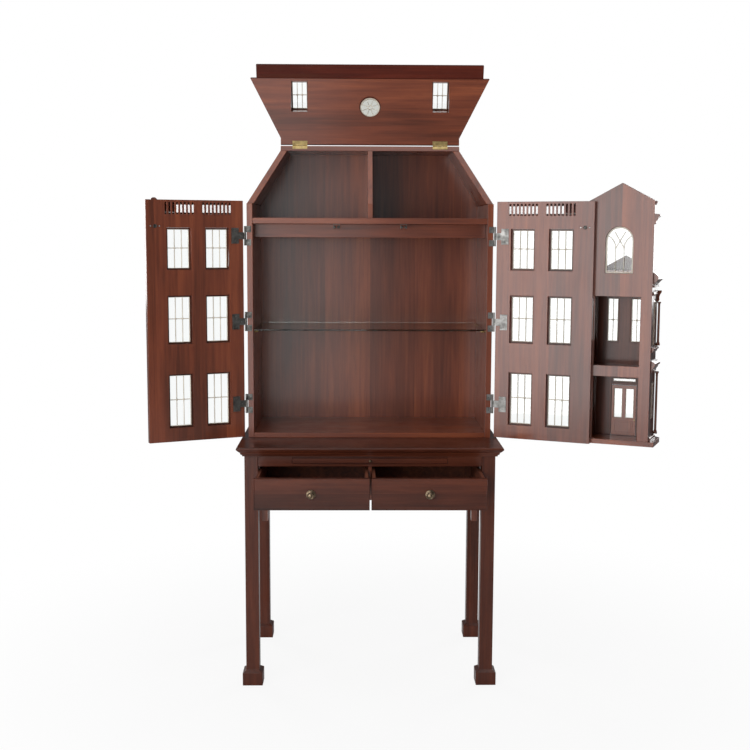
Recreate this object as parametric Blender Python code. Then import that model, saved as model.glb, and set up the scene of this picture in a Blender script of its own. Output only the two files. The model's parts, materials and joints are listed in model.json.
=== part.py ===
"""A dollhouse display cabinet on a stand: a hip-roofed cabinet with two façade doors, an entrance
bay on the right door, a lifting front roof flap, two drawers and a pull-out slide.

Metres, +Z up, the viewer on the -Y side. Everything is modelled shut, in cabinet coordinates:
X = 0 in the middle of the cabinet, Y = 0 on the front edges of its sides, Z = 0 on the floor.
Each moving group hangs on an empty on its joint's axis, which then turns or slides to the rest pose.
"""

import math

import bmesh
import bpy
from mathutils import Matrix, Vector

# Rest pose: how far each group stands open
DOOR_OPEN = math.radians(156)
FLAP_LEAN_BACK = math.radians(12)
DRAWER_OPEN = 0.165

# Gaps
TOUCH = 0.0003          # between faces that touch
SLIDE_GAP = 0.0008      # round a piece that slides
TURN_GAP = 0.0010       # beside a piece that turns

# Stand
STAND_WIDTH = 0.726
STAND_FRONT = -0.149    # front faces of the legs
CARCASE_DEPTH = 0.315
LEG = 0.039
FOOT = 0.059
FOOT_HEIGHT = 0.038
FOOT_COVE = 0.007
STAND_HEIGHT = 0.713
TOP_THICK = 0.027
TOP_OVERHANG = 0.022    # past the legs at the sides
TOP_FRONT_OVERHANG = 0.027
APRON_THICK = 0.018
RAIL_HEIGHT = 0.0315
RAIL_SETBACK = 0.002
RAIL_THICK = 0.018
DRAWER_HEIGHT = 0.089
DRAWER_FRONT_THICK = 0.016
DRAWER_DEPTH = 0.385
DRAWER_WALL = 0.009
DRAWER_CENTRE_GAP = 0.005
DIVIDER_THICK = 0.010
RUNNER = 0.012
KNOB_RADIUS = 0.0125
KNOB_REACH = 0.020
SLIDE_WIDTH = 0.449
SLIDE_THICK = 0.0155
SLIDE_LENGTH = 0.330
SLIDE_BELOW_TOP = 0.0070
SLIDE_KNOB_RADIUS = 0.004

# Cabinet
HALF_WIDTH = 0.364
BOARD = 0.017
BACK_THICK = 0.008
FLOOR_THICK = 0.015
KINK_HEIGHT = 1.411     # where the walls end and the roof slopes begin
ROOF_RISE = 0.160
ROOF_INSET = 0.094      # how far each slope leans in over that rise
ROOF_BOARD = 0.015
ATTIC_FLOOR_TOP = 1.369
DIVIDER_BOARD = 0.014
VALANCE_HEIGHT = 0.040
VALANCE_SETBACK = 0.062
VALANCE_THICK = 0.012
SHELF_HEIGHT = 1.036
SHELF_THICK = 0.005
SHELF_SETBACK = 0.020
CATCH_SIZE = (0.020, 0.026, 0.015)
CATCH_OFFSET = 0.0995

# Doors and their flush hinges
PIN_OUT = 0.0045        # from the cabinet's side to the pin
DOOR_BOTTOM = 0.716
DOOR_TOP = 1.418
DOOR_WIDTH = 0.290
DOOR_THICK = 0.018
HINGE_HEIGHTS = (0.817, 1.063, 1.316)
HINGE_LENGTH = 0.057
HINGE_NECK = 0.021
LEAF_THICK = 0.0013
KNUCKLE_RADIUS = 0.0034
PIN_RADIUS = 0.0015
BORE_GAP = 0.0003
WING_WIDTH = 0.0175
FLARE_START = 0.0200
FLARE_END = 0.0420
FLARE_HEIGHT = 0.046
WINDOW_WIDTH = 0.0725
WINDOW_COLUMNS = (0.085, 0.1995)        # column centres, from the pin
WINDOW_ROWS = ((0.7565, 0.9145), (1.0025, 1.1435), (1.2175, 1.3385))
SLOTS_IN_GROUP = 8
SLOT_WIDTH = 0.0055
SLOT_PITCH = 0.0114
SLOT_COLUMNS = (0.0857, 0.197)          # centres of the slot groups, from the pin
SLOT_ZONE = (1.377, 1.411)

# Entrance bay, carried by the right door
BAY_HALF = 0.093
BAY_DEPTH = 0.085       # from its back frame to its front wall
BAY_CANT = 0.010
BAY_WALL = 0.008
FRAME_THICK = 0.012
FRAME_GAP = 0.0005
FRAME_OPENING = (-0.061, 0.071)
GABLE_EAVES = 1.419
GABLE_APEX = 1.469
BAY_BASE_THICK = 0.014
BAY_BASE_OUT = 0.016
BAY_STEP = 0.008        # the base runs this much further at the front
BAY_FLOOR_TOP = 0.942
BAY_FLOOR_THICK = 0.012
BAY_ROOMS = ((0.7305, 0.915), (0.9465, 1.147))
BAY_TOP = 1.181
CORNICE_HEIGHT = 0.040
CORNICE_OUT = 0.014
ARCH_WIDTH = 0.080
ARCH_SHIFT = 0.004      # towards the door's hinges
ARCH_FOOT = 1.213
ARCH_TOP = 1.346
BAY_WINDOW = (0.0165, 0.053)            # inner and outer edge, from the middle
BAY_WINDOW_HEIGHTS = (1.007, 1.140)
SIDE_WINDOW_WIDTH = 0.034
SIDE_WINDOW_ROWS = ((0.790, 0.900), (1.004, 1.138))
ENTRANCE_WIDTH = 0.072
ENTRANCE_SHIFT = -0.004 # away from the door's hinges
ENTRANCE_TOP = 0.880
ENTRANCE_THICK = 0.006
ENTRANCE_STILE = 0.007
ENTRANCE_LIGHT = (0.783, 0.871)
ENTRANCE_BAR = 0.010
TRANSOM = (0.888, 0.904)

# Roof flap, dormers and brass hinges
FLAP_THICK = 0.012
FLAP_GAP = 0.0004       # on each side of the joint between flap and roof
FLAP_FRONT = 0.002      # the shut flap's foot stands this far behind the front edges
STRIP_THICK = 0.012
STRIP_GAP = 0.0015
ROUND_RADIUS = 0.033
ROUND_ALONG = 0.087     # from the flap's free edge
DORMER_OFFSET = 0.215
DORMER_WIDTH = 0.062
DORMER_WALL = 0.006
DORMER_RISE = 0.001
DORMER_HEIGHT = 0.100
BUTT_OFFSET = 0.212
BUTT_LENGTH = 0.045
BUTT_LEAF = 0.013
BUTT_THICK = 0.0015
BUTT_KNUCKLE = 0.0024
BUTT_PIN = 0.0011
BUTT_KNUCKLES = 3

# Worked out from the values above
ROOF_ANGLE = math.atan2(ROOF_INSET, ROOF_RISE)
ROOF_HALF = HALF_WIDTH - ROOF_INSET
ROOF_BASE = KINK_HEIGHT + ROOF_RISE
ROOF_TOP = ROOF_BASE + ROOF_BOARD
BACK_FRONT = CARCASE_DEPTH - BACK_THICK
SIDE_BACK = BACK_FRONT - TOUCH
INNER_HALF = HALF_WIDTH - BOARD - TOUCH
CABINET_FOOT = STAND_HEIGHT + TOUCH
FLOOR_TOP = CABINET_FOOT + FLOOR_THICK
STAND_HALF = STAND_WIDTH / 2
TOP_UNDER = STAND_HEIGHT - TOP_THICK
LEG_TOP = TOP_UNDER - TOUCH
LEG_INNER = STAND_HALF - LEG
RAIL_FOOT = LEG_TOP - RAIL_HEIGHT
DRAWER_TOP = RAIL_FOOT - TURN_GAP
DRAWER_FOOT = DRAWER_TOP - DRAWER_HEIGHT
PIN_X = HALF_WIDTH + PIN_OUT
PIN_Y = -(TOUCH + LEAF_THICK / 2)
DOOR_INNER = -(2 * TOUCH + LEAF_THICK)  # Y of the shut door's inner face
DOOR_OUTER = DOOR_INNER - DOOR_THICK
DOOR_NEAR = HALF_WIDTH - TURN_GAP       # X of the shut door's hinge edge
DOOR_FREE = DOOR_NEAR - DOOR_WIDTH
FRAME_BACK = DOOR_OUTER - FRAME_GAP
FRAME_FRONT = FRAME_BACK - FRAME_THICK
BAY_BACK = FRAME_FRONT - TOUCH
BAY_FRONT = BAY_BACK - BAY_DEPTH
BAY_FOOT = DOOR_BOTTOM + BAY_BASE_THICK + TOUCH
ENTRANCE_FOOT = BAY_FOOT + TURN_GAP
FLAP_INNER_AT_KINK = FLAP_FRONT + FLAP_THICK / math.cos(ROOF_ANGLE)
BUTT_PIN_HEIGHT = ROOF_TOP + BUTT_KNUCKLE + 0.0006
FLAP_START = BUTT_KNUCKLE + TURN_GAP / 2   # from the pin to the flap's upper end
FLAP_FOOT = KINK_HEIGHT + TOUCH


def roof_line(height):
    """Y of the sloping joint between the roof and the shut flap, at a height."""
    return FLAP_INNER_AT_KINK + (height - KINK_HEIGHT) * math.tan(ROOF_ANGLE)


BUTT_PIN_Y = roof_line(BUTT_PIN_HEIGHT)

bpy.ops.object.select_all(action="DESELECT")
for leftover in list(bpy.data.objects):
    bpy.data.objects.remove(leftover, do_unlink=True)


def make_material(name, colour, roughness, metallic=0.0):
    made = bpy.data.materials.new(name)
    made.use_nodes = True
    shader = made.node_tree.nodes["Principled BSDF"]
    shader.inputs["Base Color"].default_value = (*colour, 1.0)
    shader.inputs["Roughness"].default_value = roughness
    shader.inputs["Metallic"].default_value = metallic
    made.diffuse_color = (*colour, 1.0)
    return made


MAHOGANY = make_material("mahogany", (0.13, 0.032, 0.018), 0.25)
DRAWER_WOOD = make_material("drawer_wood", (0.30, 0.13, 0.07), 0.5)
BRASS = make_material("brass", (0.62, 0.42, 0.16), 0.3, 1.0)
STEEL = make_material("hinge_steel", (0.42, 0.41, 0.39), 0.35, 1.0)
GLASS = make_material("glass", (0.75, 0.85, 0.82), 0.05)


def axis_empty(name, place, parent):
    """An empty on a joint's axis, in cabinet coordinates with everything shut."""
    made = bpy.data.objects.new(name, None)
    made.empty_display_size = 0.05
    bpy.context.scene.collection.objects.link(made)
    made.parent = parent
    made["place"] = place
    above = Vector(parent["place"]) if parent else Vector()
    made.location = Vector(place) - above
    return made


def add(name, shape, material, group):
    """One named object from a bmesh in shut cabinet coordinates, hung on its group's empty."""
    bmesh.ops.recalc_face_normals(shape, faces=shape.faces)
    bmesh.ops.translate(shape, verts=shape.verts, vec=-Vector(group["place"]))
    mesh = bpy.data.meshes.new(name)
    shape.to_mesh(mesh)
    shape.free()
    mesh.materials.append(material)
    made = bpy.data.objects.new(name, mesh)
    bpy.context.scene.collection.objects.link(made)
    made.parent = group
    return made


def combine(base, tools, operation):
    """Joins or cuts base with tools, applies the result to its mesh and drops the tools."""
    for tool in tools:
        modifier = base.modifiers.new(operation.lower(), "BOOLEAN")
        modifier.operation = operation
        modifier.object = tool
    bpy.context.view_layer.update()
    graph = bpy.context.evaluated_depsgraph_get()
    mesh = bpy.data.meshes.new_from_object(base.evaluated_get(graph))
    mesh.name = base.name
    base.modifiers.clear()
    base.data = mesh
    for tool in tools:
        bpy.data.objects.remove(tool, do_unlink=True)


def round_shading(piece):
    piece.data.shade_smooth()
    piece.data.set_sharp_from_angle(angle=math.radians(35))


def block(x, y, z, shape=None):
    """A box between pairs of X, Y and Z values, added to a bmesh."""
    shape = shape or bmesh.new()
    made = bmesh.ops.create_cube(shape, size=1.0)
    for vert in made["verts"]:
        for k, (low, high) in enumerate((x, y, z)):
            vert.co[k] = low if vert.co[k] < 0 else high
    return shape


def prism(outline, axis, low, high, shape=None):
    """A polygon drawn in the two other axes, in X, Y, Z order, and extruded along axis."""
    shape = shape or bmesh.new()
    others = [k for k in range(3) if k != axis]
    corners = []
    for point in outline:
        place = Vector()
        place[axis] = low
        place[others[0]], place[others[1]] = point
        corners.append(shape.verts.new(place))
    face = shape.faces.new(corners)
    grown = bmesh.ops.extrude_face_region(shape, geom=[face])
    moved = [item for item in grown["geom"] if isinstance(item, bmesh.types.BMVert)]
    shift = Vector()
    shift[axis] = high - low
    bmesh.ops.translate(shape, verts=moved, vec=shift)
    return shape


def rod(centre, direction, radius, length, segments=16, shape=None, end_radius=None):
    """A cylinder or cone from centre along direction."""
    shape = shape or bmesh.new()
    turn = Vector(direction).to_track_quat("Z", "Y").to_matrix().to_4x4()
    bmesh.ops.create_cone(
        shape, cap_ends=True, segments=segments, radius1=radius,
        radius2=radius if end_radius is None else end_radius, depth=length,
        matrix=Matrix.Translation(centre) @ turn @ Matrix.Translation((0, 0, length / 2)),
    )
    return shape


def stack(levels):
    """A solid through rectangles (x low, x high, y low, y high, height), bottom to top."""
    shape = bmesh.new()
    rings = []
    for x0, x1, y0, y1, z in levels:
        corners = ((x0, y0), (x1, y0), (x1, y1), (x0, y1))
        rings.append([shape.verts.new((x, y, z)) for x, y in corners])
    shape.faces.new(rings[0])
    shape.faces.new(rings[-1])
    for lower, upper in zip(rings, rings[1:]):
        for k in range(4):
            n = (k + 1) % 4
            shape.faces.new((lower[k], lower[n], upper[n], upper[k]))
    return shape


def turned(profile, centre, direction, segments=20):
    """A knob turned from (radius, distance) pairs, starting and ending on its axis."""
    shape = bmesh.new()
    verts = [shape.verts.new((radius, 0, along)) for radius, along in profile]
    edges = [shape.edges.new(pair) for pair in zip(verts, verts[1:])]
    bmesh.ops.spin(
        shape, geom=verts + edges, cent=(0, 0, 0), axis=(0, 0, 1), angle=math.tau,
        steps=segments, use_merge=True,
    )
    bmesh.ops.remove_doubles(shape, verts=shape.verts, dist=1e-6)
    turn = Vector(direction).to_track_quat("Z", "Y").to_matrix().to_4x4()
    bmesh.ops.transform(shape, matrix=Matrix.Translation(centre) @ turn, verts=shape.verts)
    return shape


def cant_outline(half, front, cant, back):
    """Plan of a bay with its front corners cut at 45 degrees, open side first and last."""
    return [
        (-half, back), (-half, front + cant), (-half + cant, front),
        (half - cant, front), (half, front + cant), (half, back),
    ]


def grown_cant(out):
    """Cut of a bay plan grown outwards by out, so that its canted sides stay parallel."""
    return BAY_CANT + out * (2 - math.sqrt(2))


house = axis_empty("dollhouse", (0, 0, 0), None)
left_door_axis = axis_empty("left_door_axis", (-PIN_X, PIN_Y, 0), house)
right_door_axis = axis_empty("right_door_axis", (PIN_X, PIN_Y, 0), house)
flap_axis = axis_empty("roof_flap_axis", (0, BUTT_PIN_Y, BUTT_PIN_HEIGHT), house)
left_drawer_axis = axis_empty("left_drawer_axis", (0, 0, 0), house)
right_drawer_axis = axis_empty("right_drawer_axis", (0, 0, 0), house)
slide_axis = axis_empty("slide_axis", (0, 0, 0), house)
entrance_axis = axis_empty(
    "entrance_door_axis", (ENTRANCE_SHIFT + ENTRANCE_WIDTH / 2, BAY_FRONT + BAY_WALL, 0), right_door_axis
)


def build_legs():
    centres = {
        "front": STAND_FRONT + LEG / 2,
        "back": CARCASE_DEPTH - (FOOT - LEG) / 2 - LEG / 2,
    }
    for row, y in centres.items():
        for side, sign in (("left", -1), ("right", 1)):
            x = sign * (STAND_HALF - LEG / 2)
            widths = (
                (FOOT, 0), (FOOT, FOOT_HEIGHT), (LEG, FOOT_HEIGHT + FOOT_COVE), (LEG, LEG_TOP)
            )
            levels = [(x - w / 2, x + w / 2, y - w / 2, y + w / 2, z) for w, z in widths]
            add(f"leg_{row}_{side}", stack(levels), MAHOGANY, house)
    return centres["back"] - LEG / 2, centres["back"] + LEG / 2


def build_stand_frame(back_leg_front, back_leg_back):
    front_leg_back = STAND_FRONT + LEG
    for side, sign in (("left", -1), ("right", 1)):
        outer = sign * (STAND_HALF - RAIL_SETBACK)
        inner = sign * (STAND_HALF - RAIL_SETBACK - APRON_THICK)
        ledge = sign * (LEG_INNER - RUNNER)
        under = DRAWER_FOOT - SLIDE_GAP
        outline = [
            (outer, under - RUNNER), (outer, LEG_TOP), (inner, LEG_TOP), (inner, under),
            (ledge, under), (ledge, under - RUNNER),
        ]
        shape = prism(outline, 1, front_leg_back + TOUCH, back_leg_front - TOUCH)
        add(f"apron_{side}", shape, MAHOGANY, house)
    x = (-LEG_INNER + TOUCH, LEG_INNER - TOUCH)
    back_y = (back_leg_back - RAIL_SETBACK - APRON_THICK, back_leg_back - RAIL_SETBACK)
    add("apron_back", block(x, back_y, (DRAWER_FOOT, LEG_TOP)), MAHOGANY, house)

    rail_y = (STAND_FRONT + RAIL_SETBACK, STAND_FRONT + RAIL_SETBACK + RAIL_THICK)
    rail = add("front_rail", block(x, rail_y, (RAIL_FOOT, LEG_TOP)), MAHOGANY, house)
    slot_half = SLIDE_WIDTH / 2 + SLIDE_GAP
    slot_top = LEG_TOP - SLIDE_BELOW_TOP + SLIDE_GAP
    slot = block(
        (-slot_half, slot_half), (rail_y[0] - 0.01, rail_y[1] + 0.01),
        (slot_top - SLIDE_THICK - 2 * SLIDE_GAP, slot_top),
    )
    combine(rail, [add("slot", slot, MAHOGANY, house)], "DIFFERENCE")

    half = DIVIDER_THICK / 2
    wide = half + RUNNER
    under = DRAWER_FOOT - SLIDE_GAP
    outline = [
        (-wide, under - RUNNER), (wide, under - RUNNER), (wide, under), (half, under),
        (half, DRAWER_TOP), (-half, DRAWER_TOP), (-half, under), (-wide, under),
    ]
    front = STAND_FRONT + DRAWER_FRONT_THICK + TURN_GAP
    divider = prism(outline, 1, front, back_y[0] - TOUCH)
    add("drawer_divider", divider, MAHOGANY, house)


def build_stand_top():
    side = STAND_HALF + TOP_OVERHANG
    front = STAND_FRONT - TOP_FRONT_OVERHANG
    profile = (
        (0.0170, 0.0), (0.0160, 0.0045), (0.0125, 0.0055), (0.0105, 0.0115), (0.0050, 0.0155),
        (0.0040, 0.0175), (0.0010, 0.0195), (0.0, 0.0225), (0.0010, 0.0255), (0.0030, TOP_THICK),
    )
    levels = [
        (-side + inset, side - inset, front + inset, CARCASE_DEPTH, TOP_UNDER + up)
        for inset, up in profile
    ]
    add("stand_top", stack(levels), MAHOGANY, house)


def build_slide():
    high = LEG_TOP - SLIDE_BELOW_TOP
    front = STAND_FRONT + RAIL_SETBACK - 0.001
    x = (-SLIDE_WIDTH / 2, SLIDE_WIDTH / 2)
    z = (high - SLIDE_THICK, high)
    add("slide_board", block(x, (front, front + SLIDE_LENGTH), z), MAHOGANY, slide_axis)
    r = SLIDE_KNOB_RADIUS
    profile = (
        (0, 0), (0.7 * r, 0), (0.5 * r, 0.7 * r), (r, 1.5 * r), (0.9 * r, 2.1 * r),
        (0.4 * r, 2.5 * r), (0, 2.6 * r),
    )
    knob = turned(profile, (0, front - TOUCH, high - SLIDE_THICK / 2), (0, -1, 0), 14)
    round_shading(add("slide_knob", knob, BRASS, slide_axis))


def build_drawer(side, sign, group):
    near = sign * DRAWER_CENTRE_GAP / 2
    far = sign * (LEG_INNER - TURN_GAP)
    x = tuple(sorted((near, far)))
    front_y = (STAND_FRONT, STAND_FRONT + DRAWER_FRONT_THICK)
    front = block(x, front_y, (DRAWER_FOOT, DRAWER_TOP))
    add(f"{side}_drawer_front", front, MAHOGANY, group)

    box_near = sign * (DIVIDER_THICK / 2 + TURN_GAP)
    box_far = sign * (LEG_INNER - TURN_GAP)
    x = tuple(sorted((box_near, box_far)))
    y = (front_y[1] + TOUCH, front_y[1] + DRAWER_DEPTH)
    z = (DRAWER_FOOT + TOUCH, DRAWER_TOP - 0.012)
    box = add(f"{side}_drawer_box", block(x, y, z), DRAWER_WOOD, group)
    w = DRAWER_WALL
    hollow = block((x[0] + w, x[1] - w), (y[0] - w, y[1] - w), (z[0] + w, z[1] + w))
    combine(box, [add("hollow", hollow, DRAWER_WOOD, group)], "DIFFERENCE")

    r = KNOB_RADIUS
    profile = (
        (0, 0), (r, 0), (r, 0.12 * r), (0.8 * r, 0.24 * r), (0.36 * r, 0.34 * r),
        (0.30 * r, 0.80 * r), (0.62 * r, 1.06 * r), (0.72 * r, 1.28 * r), (0.60 * r, 1.50 * r),
        (0, KNOB_REACH),
    )
    middle = ((x[0] + x[1]) / 2, STAND_FRONT - TOUCH, (DRAWER_FOOT + DRAWER_TOP) / 2)
    knob = turned(profile, middle, (0, -1, 0))
    round_shading(add(f"{side}_drawer_knob", knob, BRASS, group))


def sloped_front(shape):
    """Moves the front corners of a Y prism back onto the roof's sloping joint."""
    middle = SIDE_BACK / 2
    for vert in shape.verts:
        if vert.co.y < middle:
            vert.co.y = roof_line(vert.co.z)
    return shape


def build_cabinet():
    depth = (0, SIDE_BACK)
    for side, sign in (("left", -1), ("right", 1)):
        x = tuple(sorted((sign * HALF_WIDTH, sign * (HALF_WIDTH - BOARD))))
        shape = block(x, depth, (CABINET_FOOT, KINK_HEIGHT))
        add(f"cabinet_side_{side}", shape, MAHOGANY, house)

        across = BOARD / math.cos(ROOF_ANGLE)
        foot = KINK_HEIGHT + TOUCH
        outline = [
            (sign * HALF_WIDTH, foot), (sign * ROOF_HALF, ROOF_BASE),
            (sign * (ROOF_HALF - across), ROOF_BASE), (sign * (HALF_WIDTH - across), foot),
        ]
        slope = sloped_front(prism(outline, 1, 0, SIDE_BACK))
        add(f"roof_slope_{side}", slope, MAHOGANY, house)

    roof = block((-ROOF_HALF, ROOF_HALF), depth, (ROOF_BASE + TOUCH, ROOF_TOP))
    add("roof_top", sloped_front(roof), MAHOGANY, house)

    outline = [
        (-HALF_WIDTH, CABINET_FOOT), (HALF_WIDTH, CABINET_FOOT), (HALF_WIDTH, KINK_HEIGHT),
        (ROOF_HALF, ROOF_BASE), (ROOF_HALF, ROOF_TOP), (-ROOF_HALF, ROOF_TOP),
        (-ROOF_HALF, ROOF_BASE), (-HALF_WIDTH, KINK_HEIGHT),
    ]
    add("cabinet_back", prism(outline, 1, BACK_FRONT, CARCASE_DEPTH), MAHOGANY, house)

    wide = (-INNER_HALF, INNER_HALF)
    add("cabinet_floor", block(wide, depth, (CABINET_FOOT, FLOOR_TOP)), MAHOGANY, house)
    attic = block(wide, depth, (ATTIC_FLOOR_TOP - BOARD, ATTIC_FLOOR_TOP))
    add("attic_floor", attic, MAHOGANY, house)

    foot, head = ATTIC_FLOOR_TOP + TOUCH, ROOF_BASE
    clear = STRIP_GAP + FLAP_FRONT + STRIP_THICK
    outline = [
        (SIDE_BACK, foot), (SIDE_BACK, head), (roof_line(head), head),
        (max(roof_line(KINK_HEIGHT), clear), KINK_HEIGHT), (clear, KINK_HEIGHT - TURN_GAP),
        (clear, foot),
    ]
    half = DIVIDER_BOARD / 2
    add("attic_divider", prism(outline, 0, -half, half), MAHOGANY, house)

    under = ATTIC_FLOOR_TOP - BOARD - TOUCH
    y = (VALANCE_SETBACK, VALANCE_SETBACK + VALANCE_THICK)
    add("valance_rail", block(wide, y, (under - VALANCE_HEIGHT, under)), MAHOGANY, house)
    x, y, z = CATCH_SIZE
    for side, sign in (("left", -1), ("right", 1)):
        middle = sign * CATCH_OFFSET
        catch = block((middle - x / 2, middle + x / 2), (0.002, 0.002 + y), (under - z, under))
        add(f"{side}_catch", catch, STEEL, house)

    shelf = block(
        (-INNER_HALF + TURN_GAP, INNER_HALF - TURN_GAP), (SHELF_SETBACK, SIDE_BACK - TURN_GAP),
        (SHELF_HEIGHT - SHELF_THICK / 2, SHELF_HEIGHT + SHELF_THICK / 2),
    )
    add("glass_shelf", shelf, GLASS, house)


def window_cutters():
    """Boxes for one door's windows and balustrade slots, on the right door, shut."""
    y = (DOOR_OUTER - 0.01, DOOR_INNER + 0.01)
    shape = bmesh.new()
    for column in WINDOW_COLUMNS:
        middle = PIN_X - column
        for row in WINDOW_ROWS:
            block((middle - WINDOW_WIDTH / 2, middle + WINDOW_WIDTH / 2), y, row, shape)
    for column in SLOT_COLUMNS:
        for k in range(SLOTS_IN_GROUP):
            x = PIN_X - column + (k - (SLOTS_IN_GROUP - 1) / 2) * SLOT_PITCH
            block((x - SLOT_WIDTH / 2, x + SLOT_WIDTH / 2), y, SLOT_ZONE, shape)
    return shape


def build_door(side, sign, group):
    """The panel is drawn on the right, and mirrored for the left."""
    mirror = Matrix.Diagonal((sign, 1, 1, 1))
    panel = block((DOOR_FREE, DOOR_NEAR), (DOOR_OUTER, DOOR_INNER), (DOOR_BOTTOM, DOOR_TOP))
    cutter = window_cutters()
    for shape in (panel, cutter):
        bmesh.ops.transform(shape, matrix=mirror, verts=shape.verts)
    door = add(f"{side}_door", panel, MAHOGANY, group)
    combine(door, [add("cutter", cutter, MAHOGANY, group)], "DIFFERENCE")


def build_door_hinge(side, sign, group, number, middle):
    """A flush hinge: the carcase leaf is a fork, and the door leaf's neck lies between its wings."""
    leaf_y = (-TOUCH - LEAF_THICK, -TOUCH)
    pin = sign * PIN_X
    fork_edge = sign * (PIN_X - WING_WIDTH)
    half, neck = HINGE_LENGTH / 2, HINGE_NECK / 2
    x = tuple(sorted((pin, fork_edge)))
    parts = []
    for z in ((middle - half, middle - neck), (middle + neck, middle + half)):
        parts.append(block(x, leaf_y, z))
        parts.append(rod((pin, PIN_Y, z[0]), (0, 0, 1), KNUCKLE_RADIUS, z[1] - z[0], 14))
    base = rod((pin, PIN_Y, middle - half + TOUCH), (0, 0, 1), PIN_RADIUS, HINGE_LENGTH - 0.001, 10)
    fixed = add(f"{side}_hinge_{number}_fixed_leaf", base, STEEL, house)
    combine(fixed, [add("part", shape, STEEL, house) for shape in parts], "UNION")
    round_shading(fixed)

    neck -= TOUCH
    flare = FLARE_HEIGHT / 2
    start, end = sign * (PIN_X - FLARE_START), sign * (PIN_X - FLARE_END)
    outline = [
        (pin, middle - neck), (start, middle - neck), (start, middle - flare),
        (end, middle - flare), (end, middle + flare), (start, middle + flare),
        (start, middle + neck), (pin, middle + neck),
    ]
    moving = add(f"{side}_hinge_{number}_door_leaf", prism(outline, 1, *leaf_y), STEEL, group)
    knuckle = rod((pin, PIN_Y, middle - neck), (0, 0, 1), KNUCKLE_RADIUS, 2 * neck, 14)
    combine(moving, [add("knuckle", knuckle, STEEL, group)], "UNION")
    bore = rod(
        (pin, PIN_Y, middle - half), (0, 0, 1), PIN_RADIUS + BORE_GAP, HINGE_LENGTH, 14
    )
    combine(moving, [add("bore", bore, STEEL, group)], "DIFFERENCE")
    round_shading(moving)


def build_bay():
    outline = [
        (-BAY_HALF, BAY_FOOT), (BAY_HALF, BAY_FOOT), (BAY_HALF, GABLE_EAVES),
        (0, GABLE_APEX), (-BAY_HALF, GABLE_EAVES),
    ]
    frame = add("bay_frame", prism(outline, 1, FRAME_FRONT, FRAME_BACK), MAHOGANY, right_door_axis)
    through = (FRAME_FRONT - 0.01, FRAME_BACK + 0.01)
    rooms = bmesh.new()
    for low, high in BAY_ROOMS:
        below = 0.01 if low < BAY_FOOT + BAY_BASE_THICK else 0
        block(FRAME_OPENING, through, (low - below, high), rooms)
    cuts = [add("rooms", rooms, MAHOGANY, right_door_axis)]
    radius = ARCH_WIDTH / 2
    springing = ARCH_TOP - radius
    arch = [(ARCH_SHIFT - radius, ARCH_FOOT), (ARCH_SHIFT + radius, ARCH_FOOT)]
    arch += [
        (ARCH_SHIFT + radius * math.cos(turn), springing + radius * math.sin(turn))
        for turn in (math.pi * k / 16 for k in range(17))
    ]
    cuts.append(add("arch", prism(arch, 1, *through), MAHOGANY, right_door_axis))
    combine(frame, cuts, "DIFFERENCE")

    outer = cant_outline(BAY_HALF, BAY_FRONT, BAY_CANT, BAY_BACK)
    inner = cant_outline(
        BAY_HALF - BAY_WALL, BAY_FRONT + BAY_WALL, grown_cant(-BAY_WALL), BAY_BACK
    )
    walls = add(
        "bay_walls", prism(outer + inner[::-1], 2, BAY_FOOT, BAY_TOP), MAHOGANY, right_door_axis
    )
    holes = bmesh.new()
    through = (BAY_FRONT - 0.01, BAY_FRONT + BAY_WALL + 0.004)
    near, far = BAY_WINDOW
    block((-far, -near), through, BAY_WINDOW_HEIGHTS, holes)
    block((near, far), through, BAY_WINDOW_HEIGHTS, holes)
    half = ENTRANCE_WIDTH / 2 + TURN_GAP
    doorway = (ENTRANCE_SHIFT - half, ENTRANCE_SHIFT + half)
    block(doorway, through, (BAY_FOOT - 0.01, ENTRANCE_TOP + TURN_GAP), holes)
    block(doorway, through, TRANSOM, holes)
    side = (-BAY_HALF - 0.01, -BAY_HALF + BAY_WALL + 0.004)
    middle = (BAY_FRONT + BAY_CANT + BAY_BACK) / 2
    for row in SIDE_WINDOW_ROWS:
        block(side, (middle - SIDE_WINDOW_WIDTH / 2, middle + SIDE_WINDOW_WIDTH / 2), row, holes)
    combine(walls, [add("holes", holes, MAHOGANY, right_door_axis)], "DIFFERENCE")

    out = BAY_BASE_OUT
    base = cant_outline(
        BAY_HALF + out, BAY_FRONT - out - BAY_STEP, grown_cant(out), FRAME_BACK
    )
    shape = prism(base, 2, DOOR_BOTTOM, DOOR_BOTTOM + BAY_BASE_THICK)
    add("bay_base", shape, MAHOGANY, right_door_axis)

    out = -BAY_WALL - TOUCH
    floor = cant_outline(BAY_HALF + out, BAY_FRONT - out, grown_cant(out), BAY_BACK)
    shape = prism(floor, 2, BAY_FLOOR_TOP - BAY_FLOOR_THICK, BAY_FLOOR_TOP)
    add("bay_middle_floor", shape, MAHOGANY, right_door_axis)

    cornice = bmesh.new()
    rings = []
    for out, up in ((0, 0), (CORNICE_OUT, 0.4), (CORNICE_OUT, 0.6), (-0.004, 1)):
        plan = cant_outline(BAY_HALF + out, BAY_FRONT - out, grown_cant(out), BAY_BACK)
        height = BAY_TOP + TOUCH + up * CORNICE_HEIGHT
        rings.append([cornice.verts.new((x, y, height)) for x, y in plan])
    cornice.faces.new(rings[0])
    cornice.faces.new(rings[-1])
    for lower, upper in zip(rings, rings[1:]):
        for k in range(len(lower)):
            n = (k + 1) % len(lower)
            cornice.faces.new((lower[k], lower[n], upper[n], upper[k]))
    add("bay_cornice", cornice, MAHOGANY, right_door_axis)


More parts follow.
